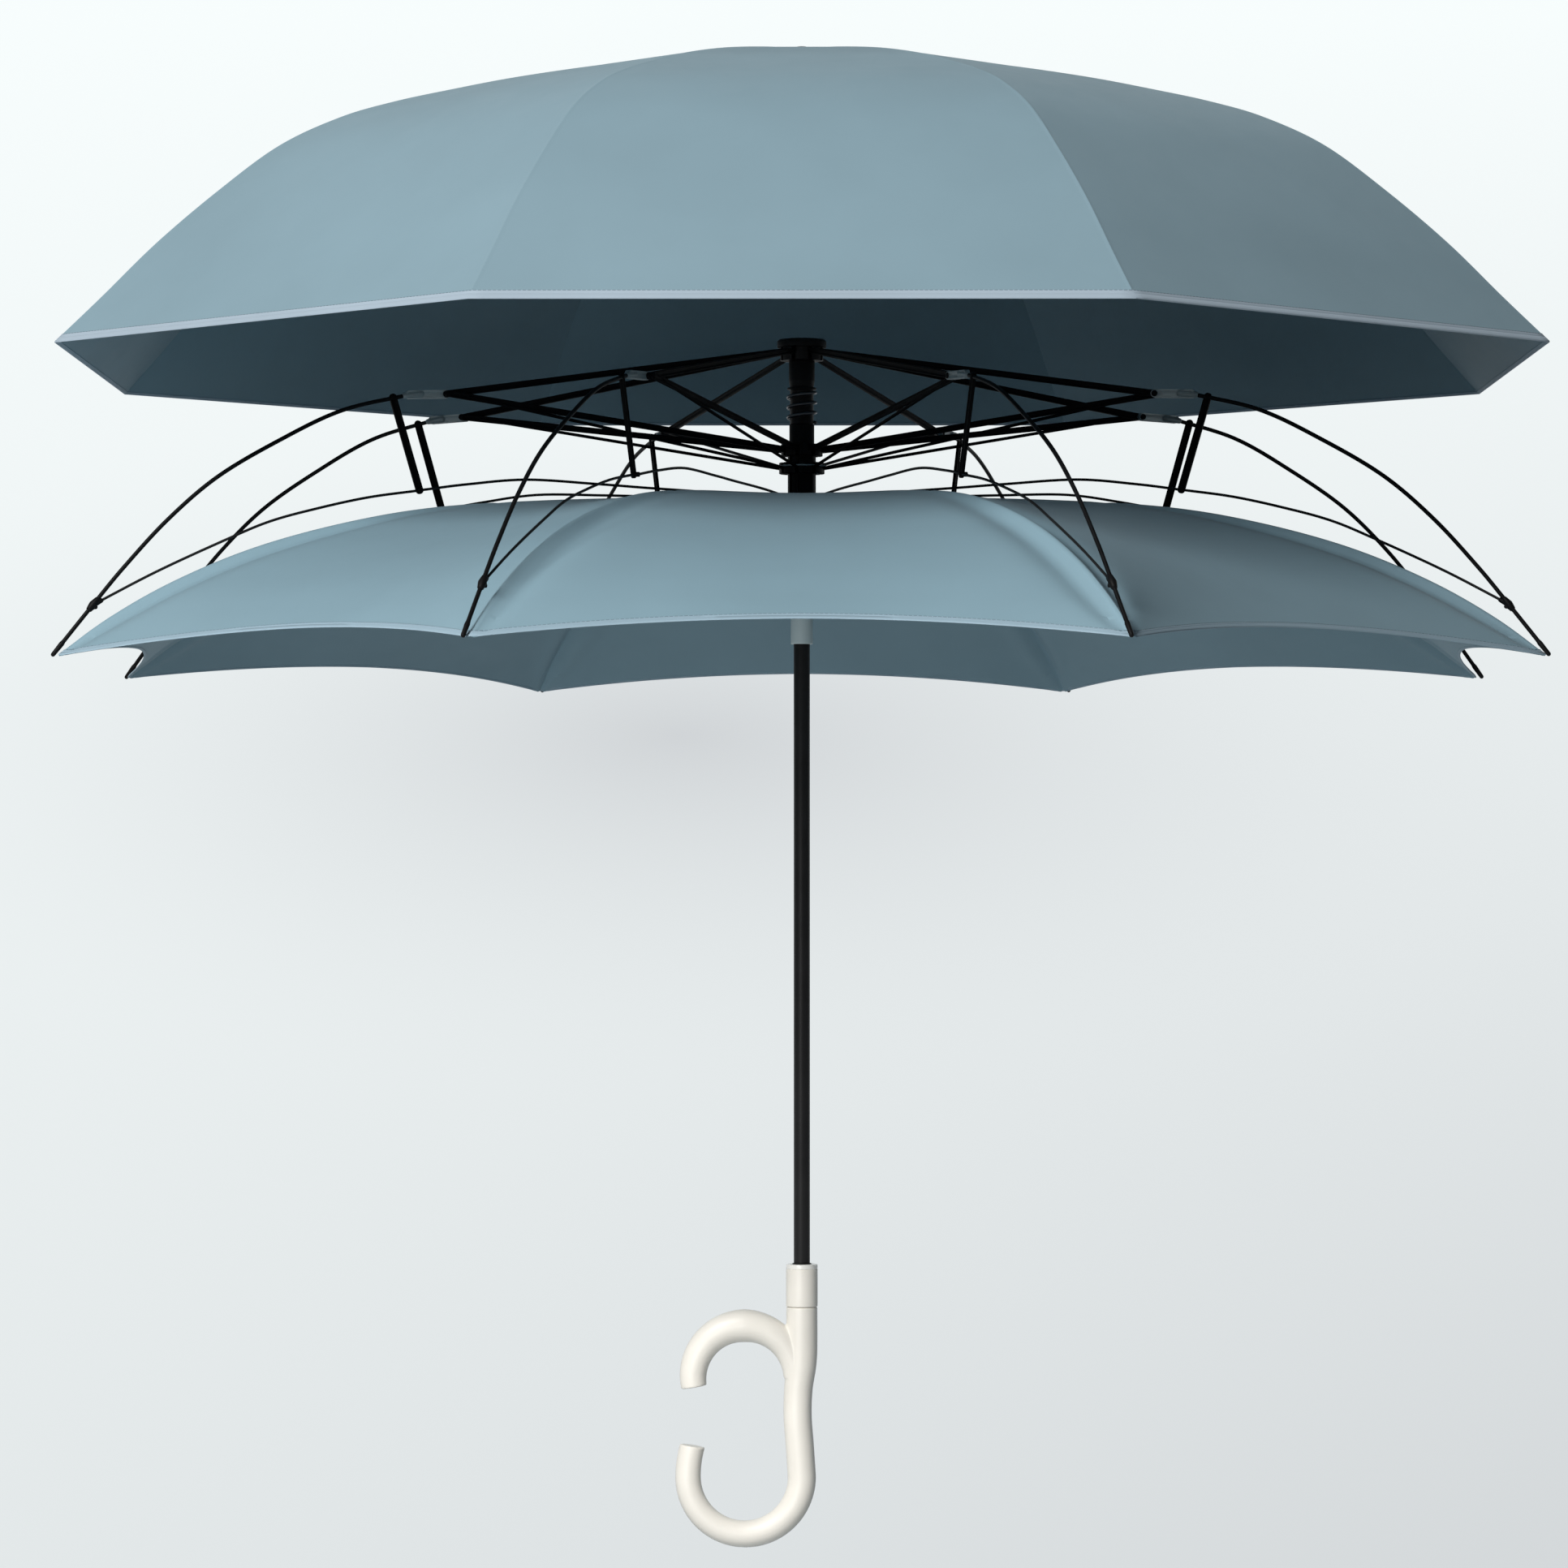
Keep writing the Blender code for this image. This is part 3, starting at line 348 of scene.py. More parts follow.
OUTER_CLOTH = woven("outer_cloth", (0.262, 0.392, 0.462), 0.06)
INNER_CLOTH = woven("inner_cloth", (0.252, 0.388, 0.460), 0.05)
HEM_TAPE = woven("hem_tape", (0.43, 0.53, 0.62), 0.05)
INNER_TAPE = woven("inner_tape", (0.31, 0.43, 0.51), 0.05)
# Real stitch thread. Its dark colour is also painted shade: it draws the thin shade line along the tape's inner
# edge.
THREAD_DARKENED_AS_SHADE = moulded("hem_thread", (0.15, 0.215, 0.26), 0.6)
BLACK_PAINT = painted("black_paint", (0.016, 0.016, 0.0165), 0.42, 0.0, 1500.0, 0.12)
BLACK_ANODISED = painted("black_anodised", (0.005, 0.005, 0.0055), 0.6, 0.0, 2600.0, 0.04)
BLACK_ROD = painted("black_rod", (0.006, 0.006, 0.0065), 0.46, 0.0, 1800.0)
BLACK_PLASTIC = moulded("black_plastic", (0.006, 0.006, 0.0065), 0.5, Specular_IOR_Level=0.12)
SPRING_STEEL = painted("dark_spring_steel", (0.11, 0.11, 0.115), 0.3, 0.8, 3000.0, 0.2)
BARE_STEEL = painted("bare_steel", (0.66, 0.65, 0.63), 0.4, 1.0, 3000.0)
GREY_NYLON = moulded("grey_nylon", (0.58, 0.68, 0.69), 0.42)
PALE_NYLON = moulded("pale_nylon", (0.42, 0.47, 0.48), 0.4, Transmission_Weight=0.4)
IVORY = moulded("ivory_coating", (0.90, 0.865, 0.79), 0.42, Coat_Weight=0.15, Coat_Roughness=0.35)
IVORY_GLOSS = moulded("ivory_ring", (0.93, 0.915, 0.87), 0.25, Coat_Weight=0.4, Coat_Roughness=0.15)


# Modelling helpers

def smooth_line(points, steps):
    """A smooth curve through these points, with this many steps between each two."""
    points = [Vector(point) for point in points]
    ends = [2 * points[0] - points[1]] + points + [2 * points[-1] - points[-2]]
    line = []
    for before, start, end, after in zip(ends, ends[1:], ends[2:], ends[3:]):
        for step in range(steps):
            share = step / steps
            line.append(0.5 * (2 * start + (end - before) * share
                               + (2 * before - 5 * start + 4 * end - after) * share ** 2
                               + (3 * start - before - 3 * end + after) * share ** 3))
    return line + [points[-1]]


def point_at(line, share):
    """The point of a line at this share of its number of steps."""
    spot = share * (len(line) - 1)
    first = min(int(spot), len(line) - 2)
    return line[first].lerp(line[first + 1], spot - first)


def from_crown(share):
    return share[0] * RIM_RADIUS, CROWN_PIVOT[1] - share[1] * RIM_RADIUS


def along_rib(share):
    return ELBOW[0] + share[0] * (RIM_RADIUS - ELBOW[0]), ELBOW[1] - share[1] * (ELBOW[1] - RIB_TIP[1])


def beside(points, side):
    return [Vector((x, side, z)) for x, z in points]


def back_from(end, other, distance):
    """The point this far from the end towards the other point, both in the rib's plane."""
    step = Vector(other) - Vector(end)
    return tuple(Vector(end) + step.normalized() * distance)


def at_turn(place, turn):
    """A place of the rib's plane, in space."""
    return place[0] * math.cos(turn), place[0] * math.sin(turn), place[1]


def arc(centre, radius, from_deg, to_deg, count):
    angles = [math.radians(from_deg + (to_deg - from_deg) * number / count) for number in range(count + 1)]
    return [(centre[0] + radius * math.cos(angle), centre[1] + radius * math.sin(angle)) for angle in angles]


def evenly(count, start, end):
    return [start + (end - start) * number / (count - 1) for number in range(count)]


def placed(name, data):
    """An object of this mesh, curve, camera or light, in the scene."""
    made = bpy.data.objects.new(name, data)
    bpy.context.scene.collection.objects.link(made)
    return made


def plain_mesh(bm):
    """The mesh of this bmesh, as it is."""
    mesh = bpy.data.meshes.new("shape")
    bm.to_mesh(mesh)
    bm.free()
    return mesh


def shaded(mesh, smooth_deg=35):
    """The mesh, smooth over its shallow edges."""
    mesh.shade_smooth()
    mesh.set_sharp_from_angle(angle=math.radians(smooth_deg))
    return mesh


def done(bm, smooth_deg=35):
    """The mesh of this bmesh, merged, facing out and smooth over its shallow edges."""
    bmesh.ops.remove_doubles(bm, verts=bm.verts, dist=1e-7)
    bmesh.ops.recalc_face_normals(bm, faces=bm.faces)
    return shaded(plain_mesh(bm), smooth_deg)


def evaluated(helper):
    """The mesh of a helper object with its modifiers applied. The helper is removed."""
    graph = bpy.context.evaluated_depsgraph_get()
    mesh = bpy.data.meshes.new_from_object(helper.evaluated_get(graph))
    bpy.data.objects.remove(helper)
    return mesh


def soften(bm, width):
    """Rounds the sharp edges of a solid."""
    bmesh.ops.recalc_face_normals(bm, faces=bm.faces)
    sharp = [edge for edge in bm.edges
             if len(edge.link_faces) == 2 and edge.calc_face_angle() > math.radians(30)]
    bmesh.ops.bevel(bm, geom=sharp, offset=width, offset_type="OFFSET", affect="EDGES", segments=2,
                    profile=0.5, material=-1, clamp_overlap=True)


def lathe(outline, bevel, steps):
    """A closed outline of (radius, height) points turned about the shaft, with its corners rounded."""
    bm = bmesh.new()
    corners = [bm.verts.new((radius, 0, height)) for radius, height in outline]
    bm.faces.new(corners)
    away = [corner for corner in corners if corner.co.x > 0]
    bmesh.ops.bevel(bm, geom=away, offset=bevel, offset_type="OFFSET", affect="VERTICES", segments=3,
                    profile=0.5, material=-1, clamp_overlap=True)
    bmesh.ops.delete(bm, geom=bm.faces[:], context="FACES_ONLY")
    on_axis = [edge for edge in bm.edges if max(end.co.x for end in edge.verts) <= 0]
    bmesh.ops.delete(bm, geom=on_axis, context="EDGES")
    bmesh.ops.spin(bm, geom=bm.verts[:] + bm.edges[:], axis=(0, 0, 1), cent=(0, 0, 0),
                   angle=math.tau, steps=steps, use_merge=True)
    return done(bm)


def tube(points, radii, sides=WIRE_SIDES, rounded=False):
    """A closed round tube along these points, with one radius or a radius for each point."""
    if not isinstance(radii, (list, tuple)):
        radii = [radii] * len(points)
    line = [(Vector(point), radius) for point, radius in zip(points, radii)]
    if rounded:
        for _ in ("start", "end"):
            line.reverse()
            end, radius = line[-1]
            out = (end - line[-2][0]).normalized()
            line += [(end + out * radius * math.sin(turn), radius * math.cos(turn))
                     for turn in (math.radians(30), math.radians(60), math.radians(85))]
    thickest = line[0][1]
    curve = bpy.data.curves.new("line", "CURVE")
    curve.dimensions = "3D"
    curve.bevel_depth = thickest
    curve.bevel_resolution = sides // 2 - 2
    curve.use_fill_caps = True
    spline = curve.splines.new("POLY")
    spline.points.add(len(line) - 1)
    for target, (point, radius) in zip(spline.points, line):
        target.co = (*point, 1)
        target.radius = radius / thickest
    bm = bmesh.new()
    bm.from_mesh(evaluated(placed("line", curve)))
    return done(bm)


def fitting(points, radii):
    """A rod, tip or sleeve with rounded ends, along these points of a rib."""
    return tube(beside(points, RIB_SIDE), radii, ROD_SIDES, True)


def wire_ring(radius, height, wire, steps):
    """A wire bent to a ring about the shaft."""
    points = [at_turn((radius, height), math.tau * step / steps) for step in range(steps + 1)]
    return tube(points, wire, RING_SIDES)


def bar(start, end, height, thickness, side, groove, rim, start_share=1.0):
    """A bar with round ends about two points, with a long groove pressed into both of its flat sides."""
    run = Vector((end[0] - start[0], 0, end[1] - start[1]))
    bm = bmesh.new()
    bmesh.ops.create_circle(bm, cap_ends=True, segments=24, radius=height / 2)
    near_end = [corner for corner in bm.verts if corner.co.x < 0]
    bmesh.ops.scale(bm, vec=(start_share, start_share, 1), verts=near_end)
    bmesh.ops.rotate(bm, matrix=Matrix.Rotation(math.pi / 24, 3, "Z"), verts=bm.verts)
    far_end = [corner for corner in bm.verts if corner.co.x > 0]
    bmesh.ops.translate(bm, vec=(run.length, 0, 0), verts=far_end)
    bmesh.ops.rotate(bm, matrix=Matrix.Rotation(math.pi / 2, 3, "X"), verts=bm.verts)
    grown = bmesh.ops.extrude_face_region(bm, geom=bm.faces[:])["geom"]
    far_side = [item for item in grown if isinstance(item, bmesh.types.BMVert)]
    bmesh.ops.translate(bm, vec=(0, thickness, 0), verts=far_side)
    bmesh.ops.recalc_face_normals(bm, faces=bm.faces)
    flats = [face for face in bm.faces if abs(face.normal.y) > 0.99]
    bmesh.ops.inset_individual(bm, faces=flats, thickness=rim, depth=0)
    bmesh.ops.inset_individual(bm, faces=flats, thickness=groove / 2, depth=-groove)
    soften(bm, thickness * 0.1)
    bmesh.ops.rotate(bm, matrix=Matrix.Rotation(-math.atan2(run.z, run.x), 3, "Y"), verts=bm.verts)
    bmesh.ops.translate(bm, vec=(start[0], side - thickness / 2, start[1]), verts=bm.verts)
    return done(bm)


def rivet(at, radius, reach_from, reach_to):
    """A pin across the rib's plane, with a low domed head at each end."""
    steps = [(reach_from, 0.45), (reach_from + 0.0001, 0.8), (reach_from + 0.0003, 1.0),
             (reach_to - 0.0003, 1.0), (reach_to - 0.0001, 0.8), (reach_to, 0.45)]
    points = [(at[0], y, at[1]) for y, _ in steps]
    return tube(points, [radius * share for _, share in steps], ROD_SIDES)


def block(size, middle):
    """A plain block of this size about its middle, as a bmesh."""
    bm = bmesh.new()
    bmesh.ops.create_cube(bm, size=1)
    bmesh.ops.scale(bm, vec=size, verts=bm.verts)
    bmesh.ops.translate(bm, vec=middle, verts=bm.verts)
    return bm


def cutter(low, high):
    """A block between two corners, to cut a slot or an end with."""
    low, high = Vector(low), Vector(high)
    return done(block(high - low, (low + high) / 2))


def turned(mesh, turn):
    """A copy of the mesh, turned about the shaft."""
    copy = mesh.copy()
    copy.transform(Matrix.Rotation(turn, 4, "Z"))
    return copy


def at_every_rib(mesh):
    return [turned(mesh, turn) for turn in RIB_TURNS]


def gather(*meshes):
    """Several meshes as one, each with its own shading."""
    bm = bmesh.new()
    for mesh in meshes:
        bm.from_mesh(mesh)
    return plain_mesh(bm)


def combined(mesh, others, operation="DIFFERENCE"):
    """The mesh with the others cut from it, or joined with it."""
    base = placed("base", mesh)
    tools = [placed("tool", other) for other in others]
    for tool in tools:
        step = base.modifiers.new("step", "BOOLEAN")
        step.operation = operation
        step.solver = "EXACT"
        step.object = tool
    result = evaluated(base)
    for tool in tools:
        bpy.data.objects.remove(tool)
    return result


def piece(name, mesh, finish, body, slot, *replaced):
    """A finished piece that rides on a body and stands for these nodes."""
    mesh.materials.clear()
    mesh.materials.append(finish)
    made = placed(name, mesh)
    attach(made, body)
    if replaced:
        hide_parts(*replaced)
    return made


def rib_piece(number, name, mesh, finish, body, slot, *replaced):
    """A piece at this rib. The names of piece, body and nodes end in the rib's number."""
    nodes = [f"{node}_{number}" for node in replaced]
    mesh = turned(mesh, RIB_TURNS[number - 1])
    return piece(f"{name}_{number}", mesh, finish, f"{body}_{number}", slot, *nodes)


# Cloth

def across_steps(half_width, count):
    """Distances from the seam on a rib to the middle of the gore, closer together at the seam."""
    seam = [step * min(1.0, half_width / SEAM_FULL_HALF_WIDTH) for step in SEAM_STEPS]
    rest = half_width - seam[-1]
    return seam + [seam[-1] + rest * (step / count) for step in range(1, count + 1)]


def thick(mesh):
    """The cloth with its thickness, below its own surface."""
    helper = placed("cloth", mesh)
    wall = helper.modifiers.new("wall", "SOLIDIFY")
    wall.thickness = CLOTH_THICKNESS
    wall.offset = -1
    wall.use_even_offset = True
    return shaded(evaluated(helper), 30)


def cloth_panel(place, rows, count, seam_rise):
    """A panel of cloth about a rib. place(share along, share across) gives its points on the +Y side.

    The grid's long way runs along the rib, its short way from one gore's middle to the next."""
    side_count = count + len(SEAM_STEPS) - 1
    bm = bmesh.new()
    bmesh.ops.create_grid(bm, x_segments=rows, y_segments=2 * side_count, size=1, calc_uvs=False)
    uv = bm.loops.layers.uv.new("cloth")
    spots = {}
    for corner in bm.verts:
        along = (corner.co.x + 1) / 2
        column = round(corner.co.y * side_count)
        half_width = (place(along, 1.0) - place(along, 0.0)).length
        distance = across_steps(half_width, count)[abs(column)]
        point = place(along, distance / half_width)
        if abs(column) < len(SEAM_RISE_SHARES):
            point.z += seam_rise * SEAM_RISE_SHARES[abs(column)]
        corner.co = (point.x, math.copysign(point.y, column), point.z)
        spots[corner] = (along, math.copysign(distance, column))
    ridge = [place(step / 20, 0.0) for step in range(21)]
    length = sum((after - before).length for before, after in zip(ridge, ridge[1:]))
    for face in bm.faces:
        for loop in face.loops:
            along, distance = spots[loop.vert]
            loop[uv].uv = (along * length, distance)
    bmesh.ops.recalc_face_normals(bm, faces=bm.faces)
    if sum(face.normal.z for face in bm.faces) < 0:
        bmesh.ops.reverse_faces(bm, faces=bm.faces)
    return thick(plain_mesh(bm))


def edge_up(edge_point, across):
    """The way up from the cloth at its edge, this share of the way to the gore's middle."""
    here = edge_point(0.0, across)
    inward = (edge_point(EDGE_PROBE, across) - here).normalized()
    probe = SHARE_PROBE if across < 0.5 else -SHARE_PROBE
    up = inward.cross(edge_point(0.0, across + probe) - here).normalized()
    return up if up.z > 0 else -up


def hem_tape(edge_point, width, columns):
    """A tape folded over the edge of the cloth that edge_point(distance in, share across) gives."""
    proud = TAPE_THICKNESS
    under = -CLOTH_THICKNESS - TAPE_THICKNESS
    under_width = width * TAPE_UNDER_SHARE
    section = [
        (width, 0.0), (width - TAPE_CORNER, proud),
        *((width * share, proud * level) for share, level in TAPE_GROOVE_SHARES),
        (TAPE_FOLD, proud), (TAPE_NIP, proud * 0.6), (-TAPE_CORNER, under / 2 + proud / 2),
        (TAPE_NIP, under * 0.9), (TAPE_FOLD, under),
        (under_width - TAPE_CORNER, under), (under_width, under + TAPE_THICKNESS),
    ]
    bm = bmesh.new()
    rings = []
    for column in range(-columns, columns + 1):
        across = abs(column) / columns
        up = edge_up(edge_point, across)
        ring = []
        for inward, rise in section:
            point = edge_point(inward, across) + up * rise
            ring.append(bm.verts.new((point.x, math.copysign(point.y, column), point.z)))
        rings.append(ring)
    for ring, after in zip(rings, rings[1:]):
        for number, corner in enumerate(ring):
            beyond = (number + 1) % len(ring)
            bm.faces.new((corner, ring[beyond], after[beyond], after[number]))
    bm.faces.new(rings[0])
    bm.faces.new(rings[-1])
    return done(bm, 40)


def stitches(edge_point, width, steps, rise):
    """A row of stitches near the inner side of a hem tape of this width, this far above the cloth."""
    half = [edge_point(width - STITCH_INSET, step / steps) for step in range(steps + 1)]
    line = [Vector((x, -y, z)) for x, y, z in reversed(half[1:])] + half
    bm = bmesh.new()
    gone = 0.0
    for start, end in zip(line, line[1:]):
        run = end - start
        while gone < run.length:
            middle = start + run * (gone / run.length)
            made = bmesh.ops.create_cone(bm, cap_ends=True, segments=6, radius1=STITCH_RADIUS,
                                         radius2=STITCH_RADIUS, depth=STITCH_LENGTH)["verts"]
            lie = Vector((0, 0, 1)).rotation_difference(run).to_matrix()
            bmesh.ops.rotate(bm, matrix=lie, verts=made)
            bmesh.ops.translate(bm, vec=middle + Vector((0, 0, rise)), verts=made)
            gone += STITCH_PITCH
        gone -= run.length
    return done(bm)


OUTER_LINE = smooth_line([(out * RIM_RADIUS, CANOPY_APEX_Z - drop * RIM_RADIUS)
                          for out, drop in OUTER_PROFILE_SHARES], 16)


def outer_height(out):
    for before, after in zip(OUTER_LINE, OUTER_LINE[1:]):
        if before.x <= out <= after.x:
            return before.y + (after.y - before.y) * (out - before.x) / (after.x - before.x)
    return OUTER_LINE[-1].y


def outer_point(out, across):
    """A point of the outer canopy, this far out and this share of the way to the gore's middle."""
    seam = Vector((out, 0, outer_height(out)))
    middle = Vector(at_turn((out * math.cos(HALF_GORE), seam.z), HALF_GORE))
    return seam.lerp(middle, across)


def outer_edge(inward, across):
    """A point this far in from the outer canopy's edge. Past the edge it goes on in the same direction."""
    if inward >= 0:
        return outer_point(RIM_RADIUS - inward * OUTER_HEM_SLOPE, across)
    edge = outer_point(RIM_RADIUS, across)
    return edge + (edge - outer_point(RIM_RADIUS + inward, across))


def outer_part(start, end):
    """The outer canopy's points between two distances out, for cloth_panel."""
    return lambda along, across: outer_point(start + (end - start) * along, across)


def build_outer_canopy():
    """A panel inside and one outside the elbow for each rib, with a light tape stitched over the hem."""
    top = cloth_panel(outer_part(OUTER_HOLE, ELBOW[0]), 40, 20, OUTER_SEAM_RISE)
    skirt = cloth_panel(outer_part(ELBOW[0], RIM_RADIUS), 80, 30, OUTER_SEAM_RISE)
    tape = hem_tape(outer_edge, OUTER_HEM_WIDTH, 24)
    thread = stitches(outer_edge, OUTER_HEM_WIDTH, 20, TAPE_THICKNESS * 1.4)
    for number, turn in enumerate(RIB_TURNS, 1):
        made = rib_piece(number, "canopy_top", top, OUTER_CLOTH, "canopy_top", "outer_cloth",
                         "outer_canopy_top")
        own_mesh(made)
        trim = [rib_piece(number, "hem_thread", thread, THREAD_DARKENED_AS_SHADE, "canopy_skirt", "outer_cloth"),
                rib_piece(number, "hem_tape", tape, HEM_TAPE, "canopy_skirt", "outer_cloth")]
        made = rib_piece(number, "canopy_skirt", skirt, OUTER_CLOTH, "canopy_skirt", "outer_cloth",
                         "outer_canopy_skirt")
        for cloth in (*trim, made):
            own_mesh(cloth)


INNER_FIRST = (INNER_HOLE / RIM_RADIUS, (CROWN_PIVOT[1] - STAY_FOOT[1] + STAY_RADIUS + FIT_GAP) / RIM_RADIUS)
INNER_RIDGE = smooth_line([from_crown(share) for share in (INNER_FIRST, *INNER_RIDGE_SHARES)], 8)
INNER_MIDDLE = smooth_line([from_crown((INNER_FIRST[0] * math.cos(HALF_GORE), INNER_FIRST[1]))]
                           + [from_crown(share) for share in INNER_MIDDLE_SHARES], 8)


def inner_share(out):
    """How far along its ridge the inner canopy is this far from the shaft."""
    for step, (before, after) in enumerate(zip(INNER_RIDGE, INNER_RIDGE[1:])):
        if before.x <= out <= after.x:
            return (step + (out - before.x) / (after.x - before.x)) / (len(INNER_RIDGE) - 1)
    return 1.0


INNER_LAP_START = inner_share(LINK_FOOT_SHARE[0] * RIM_RADIUS - LAP_INWARD)
INNER_LAP_END = inner_share(LINK_FOOT_SHARE[0] * RIM_RADIUS + LAP_OUTWARD)
INNER_END = inner_share(RIM_RADIUS - INNER_TIP_SHORT)


def inner_point(along, across):
    """A point of the inner canopy, whose gores sag between the ribs and pull tight at the seams."""
    ridge = point_at(INNER_RIDGE, along)
    middle = point_at(INNER_MIDDLE, along)
    seam = Vector((ridge.x, 0, ridge.y))
    next_seam = Vector(at_turn(ridge, 2 * HALF_GORE))
    belly = Vector(at_turn(middle, HALF_GORE))
    chord_middle = (seam + next_seam) / 2
    half_width = chord_middle.xy.length * math.tan(HALF_GORE)
    aside = across * half_width
    rounding = min(RIDGE_ROUNDING, half_width / 10)
    rounded_across = (math.hypot(aside, rounding) - rounding) / half_width
    point = seam.lerp(chord_middle, across) + (belly - chord_middle) * (1 - (1 - rounded_across) ** 2)
    opened = 1 - math.exp(-(RIM_RADIUS - ridge.x) / CREASE_OPENING)
    spread = aside / (CREASE_TIP_WIDTH + CREASE_WIDTH * opened)
    fade = min(1.0, max(0.0, (ridge.x - CREASE_START) / CREASE_FADE))
    depth = CREASE_DEPTH * opened * fade ** 2 * (3 - 2 * fade)
    point.z -= depth * (spread * math.exp(1 - spread)) ** 3 * (1 - across ** 2)
    return point


def near_point(along, across):
    """The part by the runner, which passes under the outer part."""
    spot = INNER_LAP_END * along
    point = inner_point(spot, across)
    if spot > INNER_LAP_START - UNDERLAP_EASE:
        point.z -= UNDERLAP_DROP * min(1.0, (spot - INNER_LAP_START + UNDERLAP_EASE) / UNDERLAP_EASE)
    return point


def far_point(along, across):
    """The part out to the hem."""
    return inner_point(INNER_LAP_START + (INNER_END - INNER_LAP_START) * along, across)


def inner_edge(inward, across):
    """A point this far in from the inner canopy's edge. Past the edge it goes on in the same direction."""
    edge = inner_point(INNER_END, across)
    step = inner_point(INNER_END - SHARE_PROBE, across) - edge
    return edge + step.normalized() * inward


def build_inner_canopy():
    """A panel by the runner and one out to the hem for each rib, with its tape and stitches."""
    near = cloth_panel(near_point, 48, 24, INNER_SEAM_RISE)
    far = cloth_panel(far_point, 84, 40, INNER_SEAM_RISE)
    tape = hem_tape(inner_edge, INNER_HEM_WIDTH, 32)
    thread = stitches(inner_edge, INNER_HEM_WIDTH, 24, TAPE_THICKNESS * 1.2)
    for number, turn in enumerate(RIB_TURNS, 1):
        made = rib_piece(number, "inner_cloth_near", near, INNER_CLOTH, "stay", "inner_cloth")
        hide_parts("inner_canopy")
        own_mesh(made)
        trim = [rib_piece(number, "inner_thread", thread, THREAD_DARKENED_AS_SHADE, "rib", "inner_cloth"),
                rib_piece(number, "inner_tape", tape, INNER_TAPE, "rib", "inner_cloth")]
        made = rib_piece(number, "inner_cloth_far", far, INNER_CLOTH, "rib", "inner_cloth")
        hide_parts("inner_canopy")
        for cloth in (*trim, made):
            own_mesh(cloth)


# Frame

def build_ribs():
    """The outer ribs with their tips, links, clips, stay wires and elbow blocks."""
    link_top = along_rib(LINK_TOP_SHARE)
    link_foot = from_crown(LINK_FOOT_SHARE)
    rib_end = along_rib((1.0, 1.0))
    clip_at = along_rib(RIB_SHARES[-1])
    rod_line = smooth_line([along_rib(share) for share in (RIB_START_SHARE, *RIB_SHARES, (1.0, 1.0))], 12)
    rod_end, tip_middle, tip_start = (back_from(rib_end, clip_at, gap) for gap in (0.0004, 0.0095, 0.011))
    rod = fitting([*rod_line[:-1], rod_end], RIB_ROD_RADIUS)
    tip = fitting([tip_start, tip_middle, rod_end], (0.0015, 0.00175, 0.0015))
    rib_link = gather(
        bar(link_top, link_foot, LINK_HEIGHT, LINK_THICKNESS, RIB_SIDE, GROOVE_DEPTH, LINK_RIM),
        rivet(link_foot, 0.0016, RIB_SIDE - 0.0016, 0.0012),
        rivet(link_top, 0.0017, RIB_SIDE - 0.0018, RIB_SIDE + 0.0018))
    wire_points = [link_foot, *map(from_crown, OUTER_STAY_SHARES), clip_at]
    wire = tube(beside(smooth_line(wire_points, 8), RIB_SIDE), STAY_RADIUS)
    clip = gather(
        fitting([back_from(clip_at, along_rib(RIB_SHARES[-2]), 0.0042), clip_at,
                 back_from(clip_at, rib_end, 0.0034)], (0.002, 0.0028, 0.0022)),
        fitting([clip_at, back_from(clip_at, wire_points[-2], 0.0062)], (0.0022, 0.0016)),
        rivet((clip_at[0] - 0.0012, clip_at[1] - 0.0016), 0.0014, RIB_SIDE - 0.0024, RIB_SIDE + 0.0024))
    elbow_block = gather(
        bar(ELBOW, along_rib(RIB_START_SHARE), 0.0056, 0.0036, RIB_SIDE, GROOVE_DEPTH, LINK_RIM),
        fitting([along_rib(SLEEVE_START_SHARE), back_from(rod_line[0], rod_line[4], 0.0035)],
                (0.0026, 0.002)))
    stay_points = [STAY_FOOT, *map(from_crown, INNER_STAY_SHARES), link_foot]
    stay = tube(beside(smooth_line(stay_points, 8), 0), STAY_RADIUS, rounded=True)
    for number, turn in enumerate(RIB_TURNS, 1):
        rod_piece = rib_piece(number, "rib_rod", rod, BLACK_ROD, "rib", "black_fibreglass", "outer_rib")
        rib_piece(number, "rib_tip", tip, BLACK_PLASTIC, "rib", "black_plastic")
        rib_piece(number, "rib_link", rib_link, BLACK_ANODISED, "rib", "black_aluminium")
        rib_piece(number, "rib_wire", wire, BLACK_PAINT, "rib", "black_steel")
        clip_piece = rib_piece(number, "rib_clip", clip, BLACK_PLASTIC, "rib", "black_plastic")
        rib_piece(number, "elbow_block", elbow_block, PALE_NYLON, "rib", "grey_nylon")
        rib_piece(number, "stay_wire", stay, BLACK_PAINT, "stay", "black_steel", "stay")
        for made in (rod_piece, clip_piece):
            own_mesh(made)


